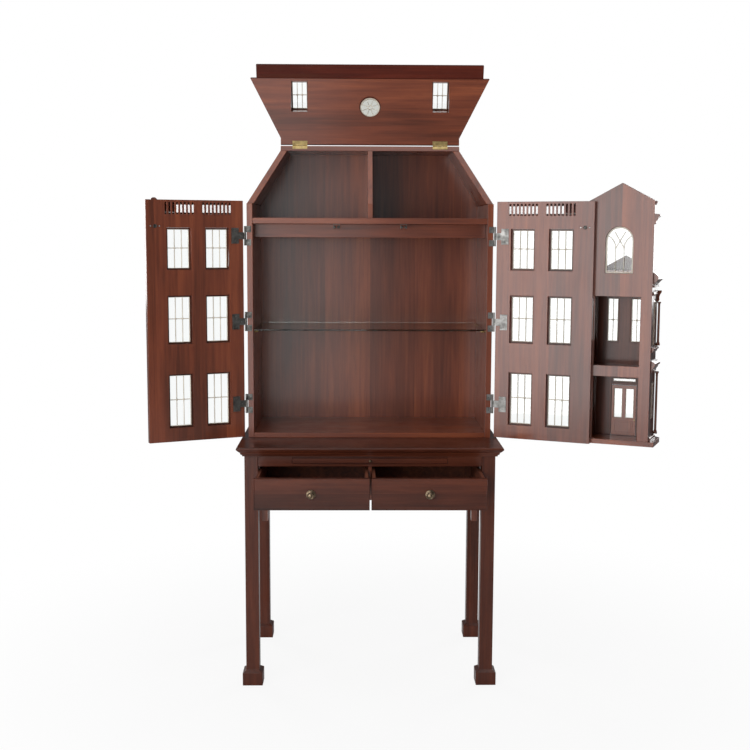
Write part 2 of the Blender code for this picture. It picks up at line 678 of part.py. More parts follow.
def build_entrance_door():
    left, right = ENTRANCE_SHIFT - ENTRANCE_WIDTH / 2, ENTRANCE_SHIFT + ENTRANCE_WIDTH / 2
    inner = BAY_FRONT + BAY_WALL
    y = (inner - ENTRANCE_THICK, inner)
    z = (ENTRANCE_FOOT, ENTRANCE_TOP)
    door = add("entrance_door", block((left, right), y, z), MAHOGANY, entrance_axis)
    lights = bmesh.new()
    bar = ENTRANCE_BAR / 2
    through = (y[0] - 0.01, y[1] + 0.01)
    block((left + ENTRANCE_STILE, ENTRANCE_SHIFT - bar), through, ENTRANCE_LIGHT, lights)
    block((ENTRANCE_SHIFT + bar, right - ENTRANCE_STILE), through, ENTRANCE_LIGHT, lights)
    combine(door, [add("lights", lights, MAHOGANY, entrance_axis)], "DIFFERENCE")


def flap_place(x, along, out):
    """Cabinet coordinates of a point on the shut flap: along the slope from the pin, out from its
    inner plane."""
    sine, cosine = math.sin(ROOF_ANGLE), math.cos(ROOF_ANGLE)
    return Vector((x, BUTT_PIN_Y - along * sine - out * cosine,
                   BUTT_PIN_HEIGHT - along * cosine + out * sine))


def along_at(height, out):
    """Distance along the slope at which a line out from the inner plane passes a height."""
    return (BUTT_PIN_HEIGHT - height + out * math.sin(ROOF_ANGLE)) / math.cos(ROOF_ANGLE)


def flap_block(x, along, out, shape=None):
    """A box in the flap's own directions."""
    shape = shape or bmesh.new()
    made = block(x, along, out)
    for vert in made.verts:
        vert.co = flap_place(*vert.co)
    mesh = bpy.data.meshes.new("flap_block")
    made.to_mesh(mesh)
    made.free()
    shape.from_mesh(mesh)
    bpy.data.meshes.remove(mesh)
    return shape


def build_flap():
    inner, outer = FLAP_GAP, FLAP_THICK
    shape = bmesh.new()
    rings = []
    levels = ((FLAP_FOOT, HALF_WIDTH), (ROOF_BASE, ROOF_HALF), (None, ROOF_HALF))
    for height, half in levels:
        ring = []
        for sign, out in ((-1, inner), (1, inner), (1, outer), (-1, outer)):
            along = FLAP_START if height is None else along_at(height, out)
            ring.append(shape.verts.new(flap_place(sign * half, along, out)))
        rings.append(ring)
    shape.faces.new(rings[0])
    shape.faces.new(rings[-1])
    for lower, upper in zip(rings, rings[1:]):
        for k in range(4):
            n = (k + 1) % 4
            shape.faces.new((lower[k], lower[n], upper[n], upper[k]))
    flap = add("roof_flap", shape, MAHOGANY, flap_axis)

    foot = along_at(FLAP_FOOT, 0)
    normal = flap_place(0, 0, 1) - flap_place(0, 0, 0)
    start = flap_place(0, foot - ROUND_ALONG, -0.01)
    cuts = [add("porthole", rod(start, normal, ROUND_RADIUS, 0.04, 28), MAHOGANY, flap_axis)]
    holes = bmesh.new()
    opening = DORMER_WIDTH / 2 - DORMER_WALL
    dormer_foot = FLAP_FOOT + DORMER_RISE + DORMER_WALL
    dormer_head = FLAP_FOOT + DORMER_RISE + DORMER_HEIGHT - DORMER_WALL
    for sign in (-1, 1):
        middle = sign * DORMER_OFFSET
        flap_block(
            (middle - opening, middle + opening),
            (along_at(dormer_head, FLAP_THICK), along_at(dormer_foot, 0)), (-0.01, 0.03), holes
        )
    cuts.append(add("holes", holes, MAHOGANY, flap_axis))
    mortises = bmesh.new()
    for sign in (-1, 1):
        middle = sign * BUTT_OFFSET
        wide = BUTT_LENGTH / 2 + TOUCH
        flap_block(
            (middle - wide, middle + wide), (-0.01, BUTT_LEAF + TOUCH),
            (-0.01, FLAP_GAP + BUTT_THICK + TOUCH), mortises
        )
    cuts.append(add("mortises", mortises, MAHOGANY, flap_axis))
    combine(flap, cuts, "DIFFERENCE")

    half = INNER_HALF + TOUCH - STRIP_GAP
    y = (FLAP_FRONT, FLAP_FRONT + STRIP_THICK)
    z = (ATTIC_FLOOR_TOP + STRIP_GAP, FLAP_FOOT - TOUCH)
    add("flap_strip", block((-half, half), y, z), MAHOGANY, flap_axis)


def build_dormer(side, sign):
    """A box with its front upright when the flap is shut, open through to the attic."""
    def outline(front, low, high, clear):
        def slope(height):
            return flap_place(0, along_at(height, FLAP_THICK + clear), FLAP_THICK + clear).y
        return [(front, low), (front, high), (slope(high), high), (slope(low), low)]

    low = FLAP_FOOT + DORMER_RISE
    high = low + DORMER_HEIGHT
    half, wall = DORMER_WIDTH / 2, DORMER_WALL
    middle = sign * DORMER_OFFSET
    body = prism(outline(FLAP_FRONT, low, high, TOUCH), 0, middle - half, middle + half)
    dormer = add(f"{side}_dormer", body, MAHOGANY, flap_axis)
    hollow = block(
        (middle - half + wall, middle + half - wall), (FLAP_FRONT - 0.02, roof_line(high)),
        (low + wall, high - wall)
    )
    combine(dormer, [add("hollow", hollow, MAHOGANY, flap_axis)], "DIFFERENCE")


def build_butt_hinge(side, sign):
    """Its fixed leaf is let into the roof board, its moving leaf into the flap."""
    middle = sign * BUTT_OFFSET
    low, high = middle - BUTT_LENGTH / 2, middle + BUTT_LENGTH / 2
    step = BUTT_LENGTH / BUTT_KNUCKLES
    gap = BORE_GAP
    pin = (BUTT_PIN_Y, BUTT_PIN_HEIGHT)
    outs = {"fixed": (-FLAP_GAP - BUTT_THICK, -FLAP_GAP), "moving": (FLAP_GAP, FLAP_GAP + BUTT_THICK)}
    for kind, group, own in (("fixed", house, (0, 2)), ("moving", flap_axis, (1,))):
        leaf = add(
            f"{side}_roof_hinge_{kind}_leaf",
            flap_block((low, high), (BUTT_KNUCKLE + gap, BUTT_LEAF), outs[kind]), BRASS, group
        )
        parts = []
        for k in own:
            x = (low + k * step + gap, low + (k + 1) * step - gap)
            parts.append(rod((x[0], *pin), (1, 0, 0), BUTT_KNUCKLE, x[1] - x[0], 14))
            parts.append(flap_block(x, (0, BUTT_KNUCKLE + 2 * gap), outs[kind]))
        if kind == "fixed":
            parts.append(rod((low + 2 * gap, *pin), (1, 0, 0), BUTT_PIN, BUTT_LENGTH - 4 * gap, 10))
        combine(leaf, [add("part", shape, BRASS, group) for shape in parts], "UNION")
        if kind == "moving":
            bore = rod((low, *pin), (1, 0, 0), BUTT_PIN + gap, BUTT_LENGTH, 14)
            combine(leaf, [add("bore", bore, BRASS, group)], "DIFFERENCE")
        round_shading(leaf)


def cut_roof_mortises():
    mortises = bmesh.new()
    wide = BUTT_LENGTH / 2 + TOUCH
    for sign in (-1, 1):
        middle = sign * BUTT_OFFSET
        flap_block(
            (middle - wide, middle + wide), (-0.01, BUTT_LEAF + TOUCH),
            (-FLAP_GAP - BUTT_THICK - TOUCH, 0.01), mortises
        )
    roof = bpy.data.objects["roof_top"]
    combine(roof, [add("mortises", mortises, MAHOGANY, house)], "DIFFERENCE")


def set_rest_pose():
    """Opens each group, then stands the object's box with its bottom centre on the origin."""
    left_door_axis.rotation_euler.z = -DOOR_OPEN
    right_door_axis.rotation_euler.z = DOOR_OPEN
    flap_axis.rotation_euler.x = -(math.pi - ROOF_ANGLE + FLAP_LEAN_BACK)
    left_drawer_axis.location.y = -DRAWER_OPEN
    right_drawer_axis.location.y = -DRAWER_OPEN
    bpy.context.view_layer.update()
    places = [
        piece.matrix_world @ vert.co
        for piece in bpy.data.objects if piece.type == "MESH"
        for vert in piece.data.vertices
    ]
    for k in (0, 1):
        values = [place[k] for place in places]
        house.location[k] = -(min(values) + max(values)) / 2
    bpy.context.view_layer.update()


build_stand_frame(*build_legs())
build_stand_top()
build_slide()
build_drawer("left", -1, left_drawer_axis)
build_drawer("right", 1, right_drawer_axis)
build_cabinet()
for side, sign, group in (("left", -1, left_door_axis), ("right", 1, right_door_axis)):
    build_door(side, sign, group)
    for number, height in enumerate(HINGE_HEIGHTS, 1):
        build_door_hinge(side, sign, group, number, height)
build_bay()
build_entrance_door()
build_flap()
for side, sign in (("left", -1), ("right", 1)):
    build_dormer(side, sign)
    build_butt_hinge(side, sign)
cut_roof_mortises()
set_rest_pose()
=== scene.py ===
"""A dollhouse display cabinet on a stand: the looks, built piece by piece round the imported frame."""

import json
import math

import bmesh
import bpy
from mathutils import Matrix, Vector


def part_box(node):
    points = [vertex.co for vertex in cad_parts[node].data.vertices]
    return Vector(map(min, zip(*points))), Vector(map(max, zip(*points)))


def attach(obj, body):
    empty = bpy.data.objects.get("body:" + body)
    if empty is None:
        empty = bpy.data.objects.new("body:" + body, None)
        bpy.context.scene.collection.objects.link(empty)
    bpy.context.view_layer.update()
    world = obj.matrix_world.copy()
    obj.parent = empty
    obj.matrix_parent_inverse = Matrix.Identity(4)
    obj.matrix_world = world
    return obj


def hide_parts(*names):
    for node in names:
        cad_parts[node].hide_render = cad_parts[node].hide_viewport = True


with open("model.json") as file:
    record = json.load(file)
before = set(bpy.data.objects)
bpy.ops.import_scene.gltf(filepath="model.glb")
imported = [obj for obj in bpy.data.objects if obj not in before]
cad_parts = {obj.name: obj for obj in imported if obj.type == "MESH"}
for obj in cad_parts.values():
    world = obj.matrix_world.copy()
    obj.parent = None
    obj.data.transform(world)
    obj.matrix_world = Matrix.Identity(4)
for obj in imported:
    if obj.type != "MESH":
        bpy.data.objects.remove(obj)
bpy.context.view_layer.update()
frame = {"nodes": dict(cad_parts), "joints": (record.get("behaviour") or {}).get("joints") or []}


# Studio.
# A pale floor that runs up behind the cabinet, a tall softbox at the front left whose reflection
# greys the lacquer on that side, a weaker fill at the right, and a long lens at eye height.
FLOOR_PALE = (0.86, 0.86, 0.86)
FLOOR_SIZE = 60.0
FLOOR_FADE = (0.5, 1.8)             # metres from the middle, where the floor turns into backdrop
FLOOR_LIFT = 0.90                   # how far it is lifted to white under the cabinet
EYE = Vector((-0.1423, -3.4781, 1.3224))
LOOK_DOWN = math.radians(6.85)
LOOK_RIGHT = math.radians(0.887)
ROLL = math.radians(0.211)
LENS_MM = 56.33
STUDIO_LIGHTS = (
    # name, place, aim, width, height, power
    ("front_left_softbox", (-2.55, -3.55, 1.55), (0.0, 0.0, 0.95), 3.3, 3.0, 118),
    ("front_left_wash", (-0.70, -4.60, 0.95), (-0.70, 0.0, 0.95), 1.25, 2.0, 13),
    ("high_left_wash", (-1.15, -4.60, 4.30), (-0.2, 0.1, 1.7), 1.6, 1.7, 13),
    ("front_right_fill", (3.4, -2.4, 1.6), (0.0, 0.0, 1.0), 1.4, 2.4, 13),
    ("overhead_softbox", (0.0, -0.6, 3.9), (0.0, 0.0, 0.9), 2.8, 2.0, 26),
    ("back_left_strip", (-2.2, 2.4, 2.0), (0.0, 0.0, 1.1), 1.2, 2.2, 30),
    ("back_right_strip", (2.2, 2.4, 2.0), (0.0, 0.0, 1.1), 1.2, 2.2, 30),
)

floor_shape = bmesh.new()
bmesh.ops.create_grid(floor_shape, x_segments=1, y_segments=1, size=FLOOR_SIZE / 2)
floor_mesh = bpy.data.meshes.new("studio_floor")
floor_shape.to_mesh(floor_mesh)
floor_shape.free()
floor = bpy.data.objects.new("studio_floor", floor_mesh)
bpy.context.scene.collection.objects.link(floor)
paper = bpy.data.materials.new("floor_paper")
paper.use_nodes = True
paper_shader = paper.node_tree.nodes["Principled BSDF"]
paper_shader.inputs["Base Color"].default_value = (*FLOOR_PALE, 1)
paper_shader.inputs["Roughness"].default_value = 0.9
floor_mesh.materials.append(paper)
paper_tree = paper.node_tree
spot = paper_tree.nodes.new("ShaderNodeTexCoord")
reach = paper_tree.nodes.new("ShaderNodeVectorMath")
reach.operation = "LENGTH"
fade = paper_tree.nodes.new("ShaderNodeMapRange")
fade.interpolation_type = "SMOOTHSTEP"
fade.inputs[1].default_value, fade.inputs[2].default_value = FLOOR_FADE
fade.inputs[3].default_value = FLOOR_LIFT
glow = paper_tree.nodes.new("ShaderNodeEmission")
glow.inputs["Color"].default_value = (1, 1, 1, 1)
ray = paper_tree.nodes.new("ShaderNodeLightPath")
eye_only = paper_tree.nodes.new("ShaderNodeMath")
eye_only.operation = "MAXIMUM"
share = paper_tree.nodes.new("ShaderNodeMath")
share.operation = "MULTIPLY"
blended = paper_tree.nodes.new("ShaderNodeMixShader")
paper_tree.links.new(spot.outputs["Object"], reach.inputs[0])
paper_tree.links.new(reach.outputs["Value"], fade.inputs[0])
paper_tree.links.new(ray.outputs["Is Camera Ray"], eye_only.inputs[0])
paper_tree.links.new(ray.outputs["Is Transmission Ray"], eye_only.inputs[1])
paper_tree.links.new(fade.outputs[0], share.inputs[0])
paper_tree.links.new(eye_only.outputs[0], share.inputs[1])
paper_tree.links.new(share.outputs[0], blended.inputs["Fac"])
paper_tree.links.new(paper_shader.outputs[0], blended.inputs[1])
paper_tree.links.new(glow.outputs[0], blended.inputs[2])
paper_tree.links.new(blended.outputs[0], paper_tree.nodes["Material Output"].inputs["Surface"])

world = bpy.data.worlds.new("studio")
world.use_nodes = True
bpy.context.scene.world = world
sky = world.node_tree
backdrop = sky.nodes["Background"]
backdrop.inputs["Color"].default_value = (1.0, 1.0, 1.0, 1)
backdrop.inputs["Strength"].default_value = 1.0
dim = sky.nodes.new("ShaderNodeBackground")
dim.inputs["Color"].default_value = (0.93, 0.96, 1.0, 1)
dim.inputs["Strength"].default_value = 0.11
seen = sky.nodes.new("ShaderNodeLightPath")
choice = sky.nodes.new("ShaderNodeMixShader")
clear_view = sky.nodes.new("ShaderNodeMath")
clear_view.operation = "MAXIMUM"
sky.links.new(seen.outputs["Is Camera Ray"], clear_view.inputs[0])
sky.links.new(seen.outputs["Is Transmission Ray"], clear_view.inputs[1])
sky.links.new(clear_view.outputs[0], choice.inputs["Fac"])
sky.links.new(dim.outputs[0], choice.inputs[1])
sky.links.new(backdrop.outputs[0], choice.inputs[2])
sky.links.new(choice.outputs[0], sky.nodes["World Output"].inputs["Surface"])

for name, place, aim, width, height, power in STUDIO_LIGHTS:
    lamp = bpy.data.lights.new(name, "AREA")
    lamp.shape = "RECTANGLE"
    lamp.size, lamp.size_y, lamp.energy = width, height, power
    stand = bpy.data.objects.new(name, lamp)
    stand.location = place
    stand.rotation_euler = (Vector(aim) - Vector(place)).to_track_quat("-Z", "Y").to_euler()
    bpy.context.scene.collection.objects.link(stand)

lens = bpy.data.cameras.new("studio_camera")
lens.lens, lens.sensor_width = LENS_MM, 36
camera = bpy.data.objects.new("studio_camera", lens)
camera.matrix_world = (
    Matrix.Translation(EYE) @ Matrix.Rotation(-LOOK_RIGHT, 4, "Z")
    @ Matrix.Rotation(math.pi / 2 - LOOK_DOWN, 4, "X") @ Matrix.Rotation(ROLL, 4, "Z")
)
bpy.context.scene.collection.objects.link(camera)
bpy.context.scene.camera = camera
bpy.context.scene.view_settings.view_transform = "Standard"


# Stand.
# Four square legs on block feet, aprons, a slotted rail and a moulded top, all red-brown mahogany:
# planed, jointed and glued, then filled and finished with a gloss lacquer over its own grain.
WOOD_LIGHT = (0.270, 0.069, 0.026)
WOOD_MIDDLE = (0.172, 0.040, 0.017)
WOOD_DARK = (0.090, 0.022, 0.010)
LACQUER_GLOSS = 0.17
EDGE_ROUND = 0.0008


def socket(group, name, way, kind, value=None):
    made = group.interface.new_socket(name, in_out=way, socket_type=kind)
    if value is not None:
        made.default_value = value
    return made


def node(tree, kind, inputs=(), **settings):
    """A shader node with its settings, and its inputs given as values or as sockets to link."""
    made = tree.nodes.new(kind)
    for key, value in settings.items():
        setattr(made, key, value)
    for key, value in dict(inputs).items():
        if isinstance(value, bpy.types.NodeSocket):
            tree.links.new(value, made.inputs[key])
        else:
            made.inputs[key].default_value = value
    return made


def stretched_noise(tree, place, stretch, scale, detail, roughness, distortion=0.0):
    """Noise drawn out along the grain, which is the pattern's Z."""
    pulled = node(tree, "ShaderNodeVectorMath", {0: place, 1: stretch}, operation="MULTIPLY")
    return node(
        tree, "ShaderNodeTexNoise",
        {"Vector": pulled.outputs[0], "Scale": scale, "Detail": detail, "Roughness": roughness,
         "Distortion": distortion},
    ).outputs["Fac"]


def ranged(tree, value, low, high, to_low, to_high):
    made = node(tree, "ShaderNodeMapRange", {0: value, 1: low, 2: high, 3: to_low, 4: to_high})
    made.clamp = True
    return made.outputs[0]


def joined_values(tree, operation, a, b):
    return node(tree, "ShaderNodeMath", {0: a, 1: b}, operation=operation).outputs[0]


# Mahogany figure: broad clouds, ribbon stripe, fine streaks and open pores, along the pattern's Z
figure = bpy.data.node_groups.new("mahogany_figure", "ShaderNodeTree")
socket(figure, "Place", "INPUT", "NodeSocketVector")
socket(figure, "Light", "INPUT", "NodeSocketColor", (*WOOD_LIGHT, 1))
socket(figure, "Middle", "INPUT", "NodeSocketColor", (*WOOD_MIDDLE, 1))
socket(figure, "Dark", "INPUT", "NodeSocketColor", (*WOOD_DARK, 1))
socket(figure, "Leaf width", "INPUT", "NodeSocketFloat", 0.19)
socket(figure, "Color", "OUTPUT", "NodeSocketColor")
socket(figure, "Polish", "OUTPUT", "NodeSocketFloat")
socket(figure, "Pores", "OUTPUT", "NodeSocketFloat")
given = figure.nodes.new("NodeGroupInput").outputs
split = node(figure, "ShaderNodeSeparateXYZ", {0: given["Place"]}).outputs
leaf = node(
    figure, "ShaderNodeMath",
    {0: joined_values(figure, "DIVIDE", split[0], given["Leaf width"])}, operation="FLOOR",
).outputs[0]
leaf_tone = node(figure, "ShaderNodeTexWhiteNoise", {"W": leaf}, noise_dimensions="1D").outputs[0]
leaf_shift = node(
    figure, "ShaderNodeCombineXYZ", {"Y": joined_values(figure, "MULTIPLY", leaf_tone, 3.0)}
).outputs[0]
place = node(
    figure, "ShaderNodeVectorMath", {0: given["Place"], 1: leaf_shift}, operation="ADD"
).outputs[0]
clouds = stretched_noise(figure, place, (1, 1, 0.16), 9, 3, 0.55, 0.6)
streaks = stretched_noise(figure, place, (1, 1, 0.035), 120, 4, 0.62, 0.4)
ribbon = stretched_noise(figure, place, (1, 1, 0.05), 34, 2, 0.5, 1.6)
pores = ranged(figure, stretched_noise(figure, place, (1, 1, 0.03), 1100, 1, 0.5), .60, .70, 0, 1)
tone = joined_values(
    figure, "ADD",
    joined_values(
        figure, "ADD", joined_values(figure, "MULTIPLY", clouds, 0.42),
        joined_values(figure, "MULTIPLY", streaks, 0.30),
    ),
    joined_values(
        figure, "ADD", joined_values(figure, "MULTIPLY", ribbon, 0.28),
        ranged(figure, leaf_tone, 0, 1, -0.05, 0.05),
    ),
)
lower = node(
    figure, "ShaderNodeMix", {0: ranged(figure, tone, 0.36, 0.50, 0, 1), 6: given["Dark"],
                              7: given["Middle"]}, data_type="RGBA",
).outputs[2]
upper = node(
    figure, "ShaderNodeMix", {0: ranged(figure, tone, 0.50, 0.66, 0, 1), 6: lower,
                              7: given["Light"]}, data_type="RGBA",
).outputs[2]
dotted = node(
    figure, "ShaderNodeMix", {0: joined_values(figure, "MULTIPLY", pores, 0.35), 6: upper,
                              7: given["Dark"]}, data_type="RGBA",
).outputs[2]
out = figure.nodes.new("NodeGroupOutput")
figure.links.new(dotted, out.inputs["Color"])
figure.links.new(ranged(figure, clouds, 0.3, 0.7, 0.92, 1.10), out.inputs["Polish"])
figure.links.new(pores, out.inputs["Pores"])

# Handling marks: faint clouds of dulled lacquer and the shallow waviness of a brushed coat
handled = bpy.data.node_groups.new("handling_marks", "ShaderNodeTree")
socket(handled, "Place", "INPUT", "NodeSocketVector")
socket(handled, "Smears", "OUTPUT", "NodeSocketFloat")
socket(handled, "Waves", "OUTPUT", "NodeSocketFloat")
given = handled.nodes.new("NodeGroupInput").outputs
smears = ranged(
    handled, stretched_noise(handled, given["Place"], (1, 1, 1), 14, 5, 0.6), 0.45, 0.75, 0, 1
)
waves = stretched_noise(handled, given["Place"], (1, 1, 1), 26, 1, 0.4)
out = handled.nodes.new("NodeGroupOutput")
handled.links.new(smears, out.inputs["Smears"])
handled.links.new(waves, out.inputs["Waves"])


def use_group(tree, group, inputs):
    made = tree.nodes.new("ShaderNodeGroup")
    made.node_tree = group
    for key, value in inputs.items():
        if isinstance(value, bpy.types.NodeSocket):
            tree.links.new(value, made.inputs[key])
        else:
            made.inputs[key].default_value = value
    return made.outputs


def lacquered_mahogany(name, grain_turn, gloss=LACQUER_GLOSS, coat=0.85, **colours):
    """Lacquered mahogany whose grain runs along Z once grain_turn has turned the pattern."""
    made = bpy.data.materials.new(name)
    made.use_nodes = True
    tree = made.node_tree
    shader = tree.nodes["Principled BSDF"]
    where = node(tree, "ShaderNodeTexCoord").outputs["Object"]
    turned = node(
        tree, "ShaderNodeMapping", {"Vector": where, "Rotation": grain_turn, "Location": (3, 5, 2)}
    ).outputs[0]
    wood = use_group(tree, figure, {"Place": turned, **colours})
    marks = use_group(tree, handled, {"Place": where})
    tree.links.new(wood["Color"], shader.inputs["Base Color"])
    dulled = joined_values(tree, "MULTIPLY_ADD", marks["Smears"], 0.10)
    dulled.node.inputs[2].default_value = 0.36
    polish = joined_values(tree, "MULTIPLY", wood["Polish"], dulled)
    tree.links.new(polish, shader.inputs["Roughness"])
    height = joined_values(tree, "MULTIPLY_ADD", marks["Waves"], 0.75)
    tree.links.new(wood["Pores"], height.node.inputs[2])
    bump = node(tree, "ShaderNodeBump", {"Height": height, "Strength": 0.05, "Distance": 0.002})
    tree.links.new(bump.outputs[0], shader.inputs["Normal"])
    shader.inputs["Coat Weight"].default_value = coat
    shader.inputs["Coat Roughness"].default_value = gloss
    shader.inputs["Coat IOR"].default_value = 1.5
    shader.inputs["Specular IOR Level"].default_value = 0.30 * coat
    return made


QUARTER = math.pi / 2
upright_mahogany = lacquered_mahogany("mahogany_upright", (0, 0, 0))
across_mahogany = lacquered_mahogany("mahogany_across", (0, QUARTER, 0))
deep_mahogany = lacquered_mahogany("mahogany_deep", (QUARTER, 0, 0))
# A darker copy of the lacquered mahogany with less coat. On the stand, slide, drawer fronts, bay walls and
# pediment it is only darker; on the window frames and the round window's rim its darkness is partly painted
# shade of the deep reveals, partly the dark brown moulding.
DARK_AND_SHADED = {"Light": (0.125, 0.030, 0.013, 1), "Middle": (0.072, 0.017, 0.008, 1),
           "Dark": (0.033, 0.009, 0.005, 1)}
dark_shaded_upright = lacquered_mahogany("stained_mahogany_upright", (0, 0, 0), coat=0.45, **DARK_AND_SHADED)
dark_shaded_across = lacquered_mahogany("stained_mahogany_across", (0, QUARTER, 0), coat=0.45, **DARK_AND_SHADED)


def finish_cad(name, material, edge=EDGE_ROUND, segments=2):
    """Gives a packed board its finish, and rounds its edges as sanding does."""
    board = frame["nodes"][name]
    board.data.materials.clear()
    board.data.materials.append(material)
    if edge:
        weld = board.modifiers.new("weld", "WELD")
        weld.merge_threshold = 0.00001
        rounding = board.modifiers.new("sanded_edges", "BEVEL")
        rounding.width, rounding.segments = edge, segments
        rounding.limit_method, rounding.angle_limit = "ANGLE", math.radians(35)
        rounding.harden_normals = True
    return board


# The legs, top, back apron and front rail take the darker mahogany copy; the side aprons and the divider
# keep the plain one.
for corner in ("front_left", "front_right", "back_left", "back_right"):
    finish_cad(f"leg_{corner}", dark_shaded_upright, 0.0012)
for name in ("stand_top", "apron_back", "front_rail"):
    finish_cad(name, dark_shaded_across)
for name in ("apron_left", "apron_right", "drawer_divider"):
    finish_cad(name, deep_mahogany)


# Corner blocks of the stand.
# A short wooden bracket is glued and screwed inside each front leg, under the side apron, where it
# ties leg and apron together; its lower corner is rounded over.
BRACKET_WIDTH = 0.017
BRACKET_DEPTH = 0.022
BRACKET_HEIGHT = 0.070
BRACKET_GAP = 0.0004


def block(low, high, shape=None):
    """A box between two corners, added to a bmesh."""
    shape = shape or bmesh.new()
    low, high = Vector(low), Vector(high)
    size = high - low
    bmesh.ops.create_cube(
        shape, size=1.0,
        matrix=Matrix.Translation((low + high) / 2) @ Matrix.Diagonal((*(abs(v) for v in size), 1)),
    )
    return shape


def add_piece(name, shape, material, body, turn=None, round_edge=0.0, smooth=True):
    """Makes a finished piece of a bmesh: turned to its place, edges rounded, riding on its body."""
    if turn is not None:
        bmesh.ops.transform(shape, matrix=turn, verts=shape.verts)
    bmesh.ops.remove_doubles(shape, verts=shape.verts, dist=1e-6)
    bmesh.ops.recalc_face_normals(shape, faces=shape.faces)
    mesh = bpy.data.meshes.new(name)
    shape.to_mesh(mesh)
    shape.free()
    mesh.materials.append(material)
    piece = bpy.data.objects.new(name, mesh)
    bpy.context.scene.collection.objects.link(piece)
    if smooth:
        mesh.shade_smooth()
        mesh.set_sharp_from_angle(angle=math.radians(38))
    if round_edge:
        rounding = piece.modifiers.new("eased_edges", "BEVEL")
        rounding.width, rounding.segments = round_edge, 2
        rounding.limit_method, rounding.angle_limit = "ANGLE", math.radians(35)
        rounding.harden_normals = True
    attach(piece, body)
    return piece


for side, sign in (("left", -1), ("right", 1)):
    leg_low, leg_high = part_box(f"leg_front_{side}")
    apron_low, apron_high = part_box(f"apron_{side}")
    inner_face = apron_low.x - 0.012 if sign > 0 else apron_high.x + 0.012
    outer_face = inner_face + sign * BRACKET_WIDTH
    top = apron_low.z - BRACKET_GAP
    low = (min(inner_face, outer_face), leg_high.y + BRACKET_GAP, top - BRACKET_HEIGHT)
    high = (max(inner_face, outer_face), leg_high.y + BRACKET_GAP + BRACKET_DEPTH, top)
    shape = block(low, high)
    foot_edges = [
        edge for edge in shape.edges
        if all(vert.co.z < top - 0.01 and vert.co.y > low[1] + 0.01 for vert in edge.verts)
    ]
    bmesh.ops.bevel(
        shape, geom=foot_edges, offset=0.012, affect="EDGES", segments=5, profile=0.5, material=-1
    )
    add_piece(
        f"{side}_corner_block", shape, upright_mahogany, "cabinet", round_edge=0.001
    )


# Pull-out slide.
# A plain mahogany board that runs in a slot of the front rail and is pulled by a turned brass
# button no bigger than a pea, fixed with its own screw.
finish_cad("slide_board", dark_shaded_across, 0.0010)
BRASS_COLOUR = (0.52, 0.39, 0.17)
BRASS_TARNISH = (0.24, 0.165, 0.07)


def patinated(name, bright, dull, roughness, scale):
    """Metal with cloudy tarnish that is duller than the rubbed places."""
    made = bpy.data.materials.new(name)
    made.use_nodes = True
    tree = made.node_tree
    shader = tree.nodes["Principled BSDF"]
    where = node(tree, "ShaderNodeTexCoord").outputs["Object"]
    clouding = stretched_noise(tree, where, (1, 1, 1), scale, 5, 0.65)
    scratches = stretched_noise(tree, where, (1, 1, 0.08), scale * 14, 2, 0.5)
    aged = ranged(tree, clouding, 0.40, 0.66, 0, 1)
    colour = node(
        tree, "ShaderNodeMix", {0: aged, 6: (*bright, 1), 7: (*dull, 1)}, data_type="RGBA"
    ).outputs[2]
    tree.links.new(colour, shader.inputs["Base Color"])
    tree.links.new(
        ranged(tree, clouding, 0.35, 0.70, roughness, roughness + 0.22), shader.inputs["Roughness"]
    )
    shader.inputs["Metallic"].default_value = 1.0
    bump = node(
        tree, "ShaderNodeBump", {"Height": scratches, "Strength": 0.12, "Distance": 0.0004}
    )
    tree.links.new(bump.outputs[0], shader.inputs["Normal"])
    return made


brass = patinated("patinated_brass", BRASS_COLOUR, BRASS_TARNISH, 0.30, 60)
antique_brass = patinated("antique_brass", (0.27, 0.20, 0.13), (0.07, 0.05, 0.035), 0.30, 160)


def turned(profile, steps=40, shape=None):
    """A solid of revolution about Z from (radius, height) pairs that start and end on the axis."""
    turning = bmesh.new()
    verts = [turning.verts.new((radius, 0, height)) for radius, height in profile]
    edges = [turning.edges.new(pair) for pair in zip(verts, verts[1:])]
    bmesh.ops.spin(
        turning, geom=verts + edges, cent=(0, 0, 0), axis=(0, 0, 1), angle=math.tau, steps=steps,
        use_merge=True,
    )
    bmesh.ops.remove_doubles(turning, verts=turning.verts, dist=1e-7)
    if shape is None:
        return turning
    mesh = bpy.data.meshes.new("turning")
    turning.to_mesh(mesh)
    turning.free()
    shape.from_mesh(mesh)
    bpy.data.meshes.remove(mesh)
    return shape


def facing(place, direction):
    """Matrix that carries a turned piece from Z onto a direction at a place."""
    return Matrix.Translation(place) @ Vector(direction).to_track_quat("Z", "Y").to_matrix().to_4x4()


slide_low, slide_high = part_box("slide_knob")
button_place = Vector(((slide_low.x + slide_high.x) / 2, slide_high.y, (slide_low.z + slide_high.z) / 2))
button = turned((
    (0, 0), (.0033, 0), (.0034, .0006), (.0022, .0013), (.0016, .0026), (.0022, .0040),
    (.0036, .0055), (.0041, .0072), (.0038, .0088), (.0026, .0099), (.0012, .0104), (0, .0105),
), 28)
add_piece("slide_button", button, antique_brass, "slide_board", facing(button_place, (0, -1, 0)))
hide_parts("slide_knob")


# Drawers.
# Two shallow boxes of plain, unlacquered mahogany behind lacquered fronts; a thin cock bead is let
# into each front's edges, and one brass knob is screwed through the middle of its rosette.
BEAD_PROUD = 0.0012
BEAD_WIDE = 0.0028
KNOB_PROFILE = (
    (0, 0), (.0128, 0), (.0134, .0006), (.0131, .0014), (.0118, .0019), (.0110, .0026),
    (.0086, .0029), (.0066, .0036), (.0047, .0052), (.0040, .0078), (.0044, .0098),
    (.0066, .0116), (.0088, .0134), (.0098, .0156), (.0096, .0176), (.0084, .0194),
    (.0070, .0202), (.0062, .0200), (.0052, .0205), (.0030, .0214), (0, .0216),
)
ROSETTE_BEADS = 24

